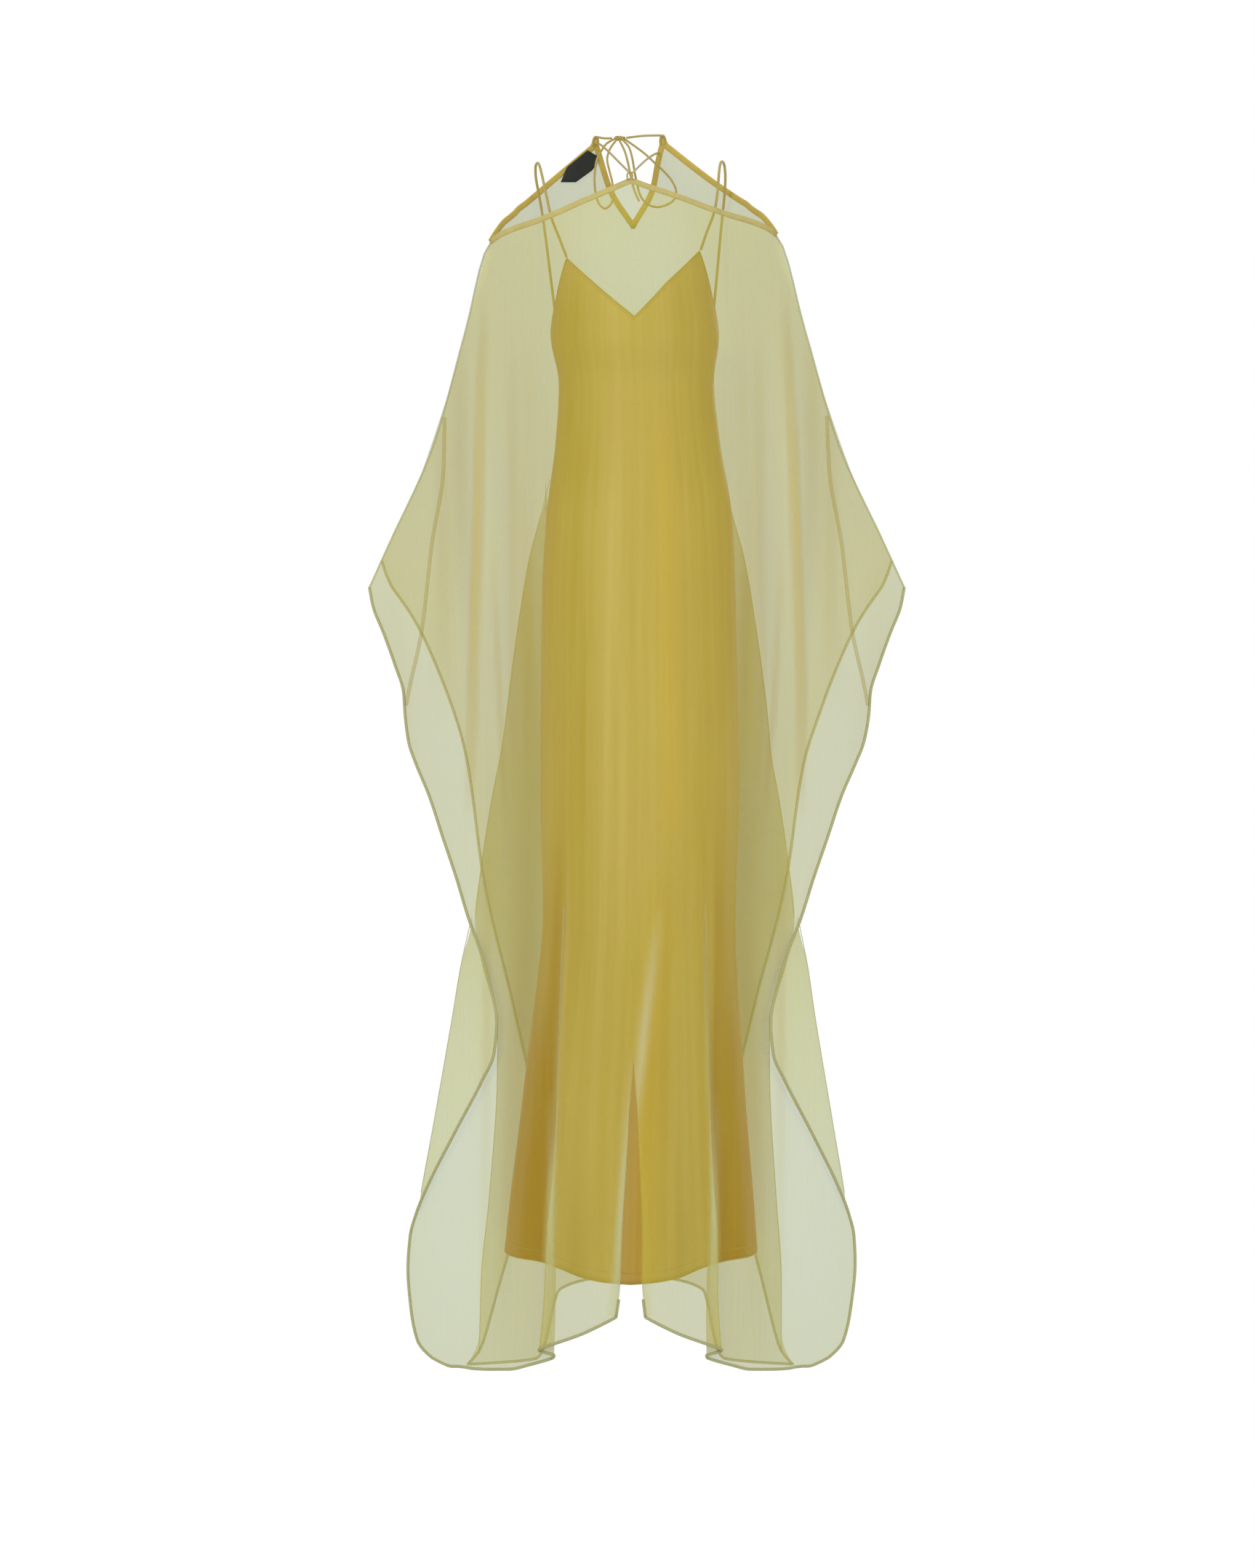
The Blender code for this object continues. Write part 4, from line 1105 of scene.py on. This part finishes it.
class KaftanSizes(bpy.types.PropertyGroup):
    """Sizes and colours of the garment."""

    fineness: IntProperty(name="Cloth fineness", default=5, min=1, max=8,
                          description="Grid columns of cloth for each column of the solids")
    row_fineness: IntProperty(name="Row fineness", default=7, min=1, max=10,
                              description="Grid rows of cloth for each row of the solids")
    hem_radius: FloatProperty(name="Rolled hem radius", default=0.0019, unit="LENGTH",
                              description="Half the width of the rolled hems")
    seam_radius: FloatProperty(name="Overarm seam radius", default=0.0013, unit="LENGTH",
                               description="Half the width of the joined overarm lines")
    crease_radius: FloatProperty(name="Crease radius", default=0.0006, unit="LENGTH",
                                 description="Half the width of the pressed creases")
    cover: FloatProperty(name="Organza cover", default=0.33, min=0.05, max=1.0, subtype="FACTOR",
                         description="Share of the view that one layer of organza covers")
    satin_wall: FloatProperty(name="Satin thickness", default=0.0009, unit="LENGTH",
                              description="Thickness of the satin")
    organza: colour_property("Organza", "Colour of the sheer cloth where it lies thin",
                             (0.62, 0.61, 0.085))
    organza_deep: colour_property("Deep organza", "Colour of the sheer cloth where it lies dense",
                                  (0.455, 0.352, 0.02))
    # Colour of the painted highlights on the organza's crests
    organza_pale: colour_property("Pale organza", "Colour of the sheer cloth's glossy crests",
                                  (0.55, 0.56, 0.29))
    hem: colour_property("Hem", "Colour of the rolled hems", (0.42, 0.41, 0.17))
    satin: colour_property("Satin", "Colour of the slip dress", (0.50, 0.34, 0.05))
    # Colour of the painted highlights on the slip's streaks
    satin_light: colour_property("Light satin", "Colour of the slip's lit streaks",
                                 (0.60, 0.435, 0.15))
    satin_warm: colour_property("Warm satin", "Colour of the slip's warmer streaks",
                                (0.56, 0.35, 0.045))
    # Also the colour of the painted shade where the slip turns away at its sides
    satin_deep: colour_property("Deep satin", "Colour along the slip's lower sides",
                                (0.33, 0.125, 0.0))
    binding: colour_property("Binding", "Colour of the folded bands", (0.50, 0.37, 0.06))
    front_binding: colour_property("Front binding", "Colour of the band on the front's top edge",
                                   (0.52, 0.44, 0.14))
    cord: colour_property("Cord", "Colour of the turned cords", (0.40, 0.31, 0.075))
    thread: colour_property("Thread", "Colour of the sewing thread", (0.50, 0.41, 0.13))
    label: colour_property("Label", "Colour of the bare woven label", (0.010, 0.012, 0.010))


# Finishes other than the cloths: function, name, colour, share of that colour, cover
FINISHES = {
    "front_hem": (hem_finish, "front_rolled_hem", "hem", 1.0, 0.66),
    "back_hem": (hem_finish, "back_rolled_hem", "hem", 1.0, 0.46),
    "seam": (hem_finish, "overarm_seam", "hem", 1.0, 0.36),
    "crease": (hem_finish, "pressed_crease", "organza_deep", 1.0, 0.26),
    # The highlight crease paints a pale highlight along the flute's crest
    "pale_crease": (hem_finish, "pale_crease", "organza_pale", 1.0, 0.20),
    "binding": (binding_finish, "bias_binding", "binding", 1.0),
    "front_binding": (binding_finish, "front_bias_binding", "front_binding", 1.0, 0.86),
    "cord": (binding_finish, "turned_cord", "cord", 1.0),
    "satin_edge": (binding_finish, "satin_edge", "satin", 0.92),
    "thread": (thread_finish, "thread", "thread", 1.0),
    "satin_thread": (thread_finish, "satin_thread", "satin", 1.1),
    "label": (label_finish, "label", "label", 1.0),
    "label_thread": (thread_finish, "label_thread", "label", 2.6),
}
finishes = {}
trees = {}


def sizes():
    return bpy.context.scene.kaftan


class KAFTAN_OT_finishes(bpy.types.Operator):
    """Makes the garment's materials and its repeating trees"""

    bl_idname = "kaftan.finishes"
    bl_label = "Materials"

    def execute(self, context):
        s = sizes()
        organza = [tuple(colour) for colour in (s.organza, s.organza_deep, s.organza_pale)]
        finishes["organza"] = organza_finish("organza", *organza, s.cover)
        satin = [tuple(colour) for colour in (s.satin, s.satin_light, s.satin_warm, s.satin_deep)]
        finishes["satin"] = satin_finish("satin", *satin)
        for key, (make, name, colour, share, *cover) in FINISHES.items():
            finishes[key] = make(name, tinted(getattr(s, colour), share), *cover)
        trees["swept"] = swept_tree()
        trees["stitch"] = stitch_tree()
        return {"FINISHED"}


class KAFTAN_OT_stage(bpy.types.Operator):
    """Sets up the camera, the soft studio light and the pale floor"""

    bl_idname = "kaftan.stage"
    bl_label = "Stage"

    def execute(self, context):
        make_camera()
        make_lights()
        make_surroundings()
        return {"FINISHED"}


class KAFTAN_OT_halter(bpy.types.Operator):
    """Makes the cord ties at the neck, their knot, bow loops and front loop"""

    bl_idname = "kaftan.halter"
    bl_label = "Halter ties"

    def execute(self, context):
        finish = finishes["cord"]
        for name, places in CORD_ROUTES.items():
            count = max(16, round(path_length(smooth_path(places, 60)) / CORD_STEP))
            path = smooth_path(places, count)
            cord = roll(name + "_cord", [path], CORD_RADIUS, CORD_SIDES, finish, "halter_cord",
                        name)
            if name in FREE_CORDS:
                path_length(path)
        roll("front_loop_cord", [smooth_path(FRONT_LOOP_ROUTE, ROUTE_STEPS)], CORD_RADIUS * 0.8,
             CORD_SIDES, finish, "halter_cord", "front_loop")
        tips = [smooth_path(on_side(TIP_LOOP_ROUTE, right), ROUTE_STEPS) for side, right in SIDES]
        roll("tip_loops", tips, CORD_RADIUS, CORD_SIDES, finish, "halter_cord")
        roll("knot_wraps", knot_paths(), CORD_RADIUS, CORD_SIDES, finish, "halter_cord",
             "halter_knot")
        return {"FINISHED"}


class KAFTAN_OT_panels(bpy.types.Operator):
    """Makes the two organza panels with their hems, seams and creases"""

    bl_idname = "kaftan.panels"
    bl_label = "Organza panels"

    def execute(self, context):
        s = sizes()
        shapes = {}
        for panel in PANELS:
            grids, flats, dense, pale = panel_grids(panel, s.fineness, s.row_fineness)
            name = panel + "_panel"
            outer = Vector((0, -1 if panel == "front" else 1, 0))
            # The pale attribute carries the painted highlights on the cloth's crests
            mesh = grid_mesh(name, grids, finishes["organza"], lambda point: outer, flats,
                             {"gather": dense, "pale": pale})
            thing = add_piece(name, mesh, "organza", "kaftan_" + panel)
            hem = roll(panel + "_hem", hem_paths(panel, grids), s.hem_radius, ROLL_SIDES,
                       finishes[panel + "_hem"], "organza")
            vertices = [vertex.co for vertex in mesh.vertices]
            faces = [tuple(face.vertices) for face in mesh.polygons]
            shapes[panel] = (BVHTree.FromPolygons(vertices, faces), grids)
        make_overarm_seams(shapes["front"][1])
        make_creases()
        make_bindings(shapes)
        return {"FINISHED"}


class KAFTAN_OT_slip(bpy.types.Operator):
    """Makes the satin slip dress, its straps, seams and stitches"""

    bl_idname = "kaftan.slip"
    bl_label = "Slip dress"

    def execute(self, context):
        s = sizes()
        for name, angles in (("front", turn_range(-SLIP_SEAM, SLIP_SEAM)),
                             ("back", turn_range(180 - SLIP_SEAM, 180 + SLIP_SEAM))):
            grid, flat, tones = slip_grid(angles, SLIP_ROWS)
            mesh = grid_mesh("slip_" + name, [grid], finishes["satin"], slip_outwards, [flat],
                             {key: [values] for key, values in tones.items()})
            mesh = solid_cloth(mesh, s.satin_wall)
            thing = add_piece("slip_%s_satin" % name, mesh, "satin", "slip_" + name)
            rolls = [roll("slip_%s_%s" % (name, key), [along_slip(angles, *line)], EDGE_ROLL,
                          ROLL_SIDES, finishes["satin_edge"], "satin")
                     for key, line in SLIP_ROLLS.items()]
            flat_cut, area = CUTS["slip_" + name]
            rows = [along_slip(angles, *line) for line in SLIP_STITCHES]
            stitches("slip_%s_stitches" % name, rows, SATIN_STITCH, finishes["satin_thread"],
                     "satin")
        seams = [[slip_point(side, down, 0.1)
                  for down in spread(SLIP_SIDE_DOWN, SLIP_HEM_SIDE, SLIP_SEAM_STEPS)]
                 for side in (-90, 90)]
        roll("slip_side_seams", seams, SLIP_SEAM_RADIUS, ROLL_SIDES, finishes["satin_edge"],
             "satin")
        for side, right in SIDES:
            path = smooth_path(on_side(STRAP_ROUTE, right), STRAP_STEPS)
            roll("strap_cord_" + side, [path], STRAP_RADIUS, 12, finishes["cord"], "satin_cord",
                 "slip_strap_" + side)
        return {"FINISHED"}


class KAFTAN_OT_label(bpy.types.Operator):
    """Makes the bare woven label at the left halter tip"""

    bl_idname = "kaftan.label"
    bl_label = "Label"

    def execute(self, context):
        mesh, border = label_mesh()
        thing = add_piece("label_patch", solid_cloth(mesh, LABEL_WALL), "label", "neck_label")
        thread = stitches("label_stitches", [border], LABEL_STITCH, finishes["label_thread"],
                          "label")
        return {"FINISHED"}


class KAFTAN_PT_panel(bpy.types.Panel):
    """Lists the garment's operators and sizes."""

    bl_idname = "KAFTAN_PT_panel"
    bl_label = "Halter Kaftan"
    bl_space_type = "VIEW_3D"
    bl_region_type = "UI"
    bl_category = "Kaftan"

    def draw(self, context):
        for key in KaftanSizes.__annotations__:
            self.layout.prop(context.scene.kaftan, key)
        for operator in OPERATORS:
            self.layout.operator(operator.bl_idname)


def turn_range(first, last):
    """Angles of the slip's columns, with its strap points among them."""
    angles = spread(first, last, round((last - first) / SLIP_TURN))
    for peak in (-SLIP_STRAP_ANGLE, SLIP_STRAP_ANGLE):
        if first < peak < last:
            nearest = min(range(len(angles)), key=lambda k: abs(angles[k] - peak))
            angles[nearest] = peak
    if first < 0 < last:
        angles[min(range(len(angles)), key=lambda k: abs(angles[k]))] = 0.0
    return angles


def slip_outwards(point):
    return Vector((point.x - 0.004, point.y, 0))


def hem_paths(panel, grids):
    """The free edges and the bottom of a panel, from each sleeve tip to the middle or the slit."""
    fine = sizes().fineness
    halves = []
    for grid in grids:
        if panel == "front":
            halves.append(list(grid[-1]) + [column[-1] for column in grid[-2:fine:-1]]
                          + grid[fine][-2:-5:-1])
        else:
            halves.append(list(grid[-1]) + [column[-1] for column in grid[-2::-1]])
    return halves if panel == "front" else [halves[0] + halves[1][-2::-1]]


def make_overarm_seams(grids):
    """The joined line of the two panels, from each shoulder point to the sleeve tip."""
    start = FRONT_SHOULDER * sizes().fineness
    paths = [[Vector((column[0].x, 0.0, column[0].z)) for column in grid[start:]] for grid in grids]
    roll("overarm_seams", paths, sizes().seam_radius, ROLL_SIDES, finishes["seam"], "organza")


def make_creases():
    """Thin pressed lines where the cloth turns back on itself."""
    for name, (panel, rows, radius_share, finish) in CREASES.items():
        across_line, lift_line = lines(rows)
        downs = spread(rows[0][0], rows[-1][0], CREASE_STEPS)
        paths = [[panel_point(panel, down, across_line(down), lift_line(down), right)
                  for down in downs] for side, right in SIDES]
        roll(name, paths, sizes().crease_radius * radius_share, CREASE_SIDES, finishes[finish],
             "organza")


def make_bindings(shapes):
    """Bands on the front's top edge, the back's sloping edges and the back V."""
    fine = sizes().fineness
    down = sizes().row_fineness
    surface, (left, right) = shapes["front"]
    shoulder = FRONT_SHOULDER * fine
    edge = left[shoulder:0:-1] + right[:shoulder + 1]
    bind_edge("front_top_binding", surface, edge, down, finishes["front_binding"])
    surface, grids = shapes["back"]
    inner = sum(BACK_STEPS[:2]) * fine
    outer = inner + BACK_STEPS[2] * fine
    shoulder = BACK_SHOULDER * fine
    for grid, (side, right) in zip(grids, SIDES):
        for name, columns, tip in (("edge", grid[shoulder:outer - 1:-1], EDGE_TIP),
                                   ("v", grid[:inner + 1], HALTER_TIP)):
            bind_edge("back_%s_binding_%s" % (name, side), surface, columns, down,
                      finishes["binding"], panel_point("back", *tip, 0, right))


def knot_paths():
    """Cord wound round itself at the knot: a slanting wrap each way over a straight core."""
    down, across, depth = KNOT_CENTRE
    centre = place(across, down, depth / 1000)
    reach, deep, high = (radius - CORD_RADIUS for radius in KNOT_RADII)
    paths = []
    for turns, slant, share in ((2.4, 0.0016, 1.0), (-1.6, -0.0020, 0.72)):
        path = []
        for k in range(KNOT_STEPS + 1):
            t = 2 * k / KNOT_STEPS - 1
            girth = math.sqrt(max(0.0, 1 - (t * 0.86) ** 2))
            turn = math.pi * turns * t
            path.append(centre + Vector((t * reach * 0.8 * share + slant * math.cos(turn),
                                         deep * girth * math.cos(turn),
                                         high * girth * math.sin(turn))))
        paths.append(path)
    paths.append([centre + Vector((t * reach, 0, 0)) for t in (-0.9, -0.4, 0.0, 0.4, 0.9)])
    return paths


def label_mesh():
    """The label's sheet, from its corners towards its middle, and its stitched border."""
    corners = [Vector(spot) for spot in LABEL_CORNERS]
    centre = sum(corners, Vector((0, 0))) / len(corners)
    rim = []
    for first, second in zip(corners, corners[1:] + corners[:1]):
        rim += [first.lerp(second, k / LABEL_SIDE_STEPS) for k in range(LABEL_SIDE_STEPS)]

    def spot_point(spot, extra=0.0):
        edge_share = min(1.0, (spot - centre).length / LABEL_SPREAD)
        curl = 0.5 * edge_share ** 3 * math.sin(spot.y * 0.16)
        return panel_point("back", spot.x, spot.y, LABEL_LIFT + curl + extra, False)

    mesh = bmesh.new()
    uv_layer = mesh.loops.layers.uv.new("cloth")
    rings = [[mesh.verts.new(spot_point(centre.lerp(spot, 1 - ring / LABEL_RINGS))) for spot in rim]
             for ring in range(LABEL_RINGS)]
    middle = mesh.verts.new(spot_point(centre))
    for outer, inner in zip(rings, rings[1:]):
        ring_faces(mesh, outer, inner)
    for k, vert in enumerate(rings[-1]):
        mesh.faces.new((vert, rings[-1][(k + 1) % len(rim)], middle))
    bmesh.ops.recalc_face_normals(mesh, faces=mesh.faces)
    for face in mesh.faces:
        face.smooth = True
        for loop in face.loops:
            loop[uv_layer].uv = (loop.vert.co.x, loop.vert.co.z)
    border = [spot_point(centre.lerp(spot, BORDER_SHARE), BORDER_LIFT) for spot in rim + rim[:1]]
    return finished_mesh("label_patch", mesh, finishes["label"]), border


def aimed(name, data, spot, target):
    thing = linked(name, data)
    thing.location = spot
    thing.rotation_euler = (Vector(target) - Vector(spot)).to_track_quat("-Z", "Y").to_euler()
    return thing


def make_camera():
    data = bpy.data.cameras.new("view")
    data.sensor_fit = "VERTICAL"
    data.sensor_height = SENSOR
    data.lens = SENSOR * VIEW_DISTANCE / (VIEW_ROWS * UNIT)
    spot = (VIEW_ACROSS, -VIEW_DISTANCE, VIEW_HEIGHT)
    bpy.context.scene.camera = aimed("view", data, spot, (VIEW_ACROSS, 0, VIEW_HEIGHT))


def make_lights():
    for name, spot, target, size, energy in LIGHTS:
        data = bpy.data.lights.new(name, "AREA")
        data.shape = "RECTANGLE"
        data.size, data.size_y = size
        data.energy = energy
        aimed(name, data, spot, target)


def screened(tree, kinds, links, **known):
    """Wires nodes with a colour, white when seen directly and another through the sheer cloth."""
    kinds = {"path": ("ShaderNodeLightPath", {}),
             "screen": ("ShaderNodeMix", {"data_type": "RGBA", "clamp_factor": True}), **kinds}
    nodes = wire(tree, kinds, [("path", "Transparent Depth", "screen", 0)] + links, **known)
    nodes["screen"].inputs[6].default_value = (1.0, 1.0, 1.0, 1.0)
    nodes["screen"].inputs[7].default_value = (*BACKDROP, 1.0)
    return nodes


def make_surroundings():
    """Even white surroundings, and a pale floor below the hem."""
    scene = bpy.context.scene
    scene.world = bpy.data.worlds.new("studio")
    scene.world.use_nodes = True
    tree = scene.world.node_tree
    nodes = screened(tree, {"mix": ("ShaderNodeMix", {"data_type": "RGBA"})},
                     [("path", "Is Camera Ray", "mix", 0), ("screen", 2, "mix", 7),
                      ("mix", 2, "back", "Color")], back=tree.nodes["Background"])
    nodes["mix"].inputs[6].default_value = (AMBIENT, AMBIENT, AMBIENT, 1.0)
    finish = bpy.data.materials.new("pale_floor")
    finish.use_nodes = True
    finish.node_tree.nodes.clear()
    nodes = screened(finish.node_tree, {"glow": ("ShaderNodeEmission", {}),
                                        "matt": ("ShaderNodeBsdfDiffuse", {}),
                                        "blend": ("ShaderNodeMixShader", {}),
                                        "out": ("ShaderNodeOutputMaterial", {})},
                     [("path", "Is Camera Ray", "blend", 0), ("screen", 2, "glow", "Color"),
                      ("matt", 0, "blend", 1), ("glow", 0, "blend", 2),
                      ("blend", 0, "out", "Surface")])
    nodes["matt"].inputs["Color"].default_value = FLOOR_TONE
    mesh = bpy.data.meshes.new("floor")
    half = FLOOR_SIZE / 2
    corners = [(x * half, y * half, FLOOR_HEIGHT) for x, y in ((-1, -1), (1, -1), (1, 1), (-1, 1))]
    mesh.from_pydata(corners, [], [(0, 1, 2, 3)])
    mesh.materials.append(finish)
    linked("floor", mesh)
    scene.view_settings.view_transform = "Standard"
    scene.cycles.transparent_max_bounces = SHEER_LAYERS


OPERATORS = (KAFTAN_OT_finishes, KAFTAN_OT_stage, KAFTAN_OT_halter, KAFTAN_OT_panels,
             KAFTAN_OT_slip, KAFTAN_OT_label)


def register():
    bpy.utils.register_class(KaftanSizes)
    bpy.types.Scene.kaftan = bpy.props.PointerProperty(type=KaftanSizes)
    for operator in OPERATORS:
        bpy.utils.register_class(operator)
    bpy.utils.register_class(KAFTAN_PT_panel)


def unregister():
    bpy.utils.unregister_class(KAFTAN_PT_panel)
    for operator in reversed(OPERATORS):
        bpy.utils.unregister_class(operator)
    del bpy.types.Scene.kaftan
    bpy.utils.unregister_class(KaftanSizes)


def main():
    register()
    bpy.ops.kaftan.finishes()
    bpy.ops.kaftan.stage()
    bpy.ops.kaftan.halter()
    bpy.ops.kaftan.panels()
    bpy.ops.kaftan.slip()
    bpy.ops.kaftan.label()


if __name__ == "__main__":
    main()
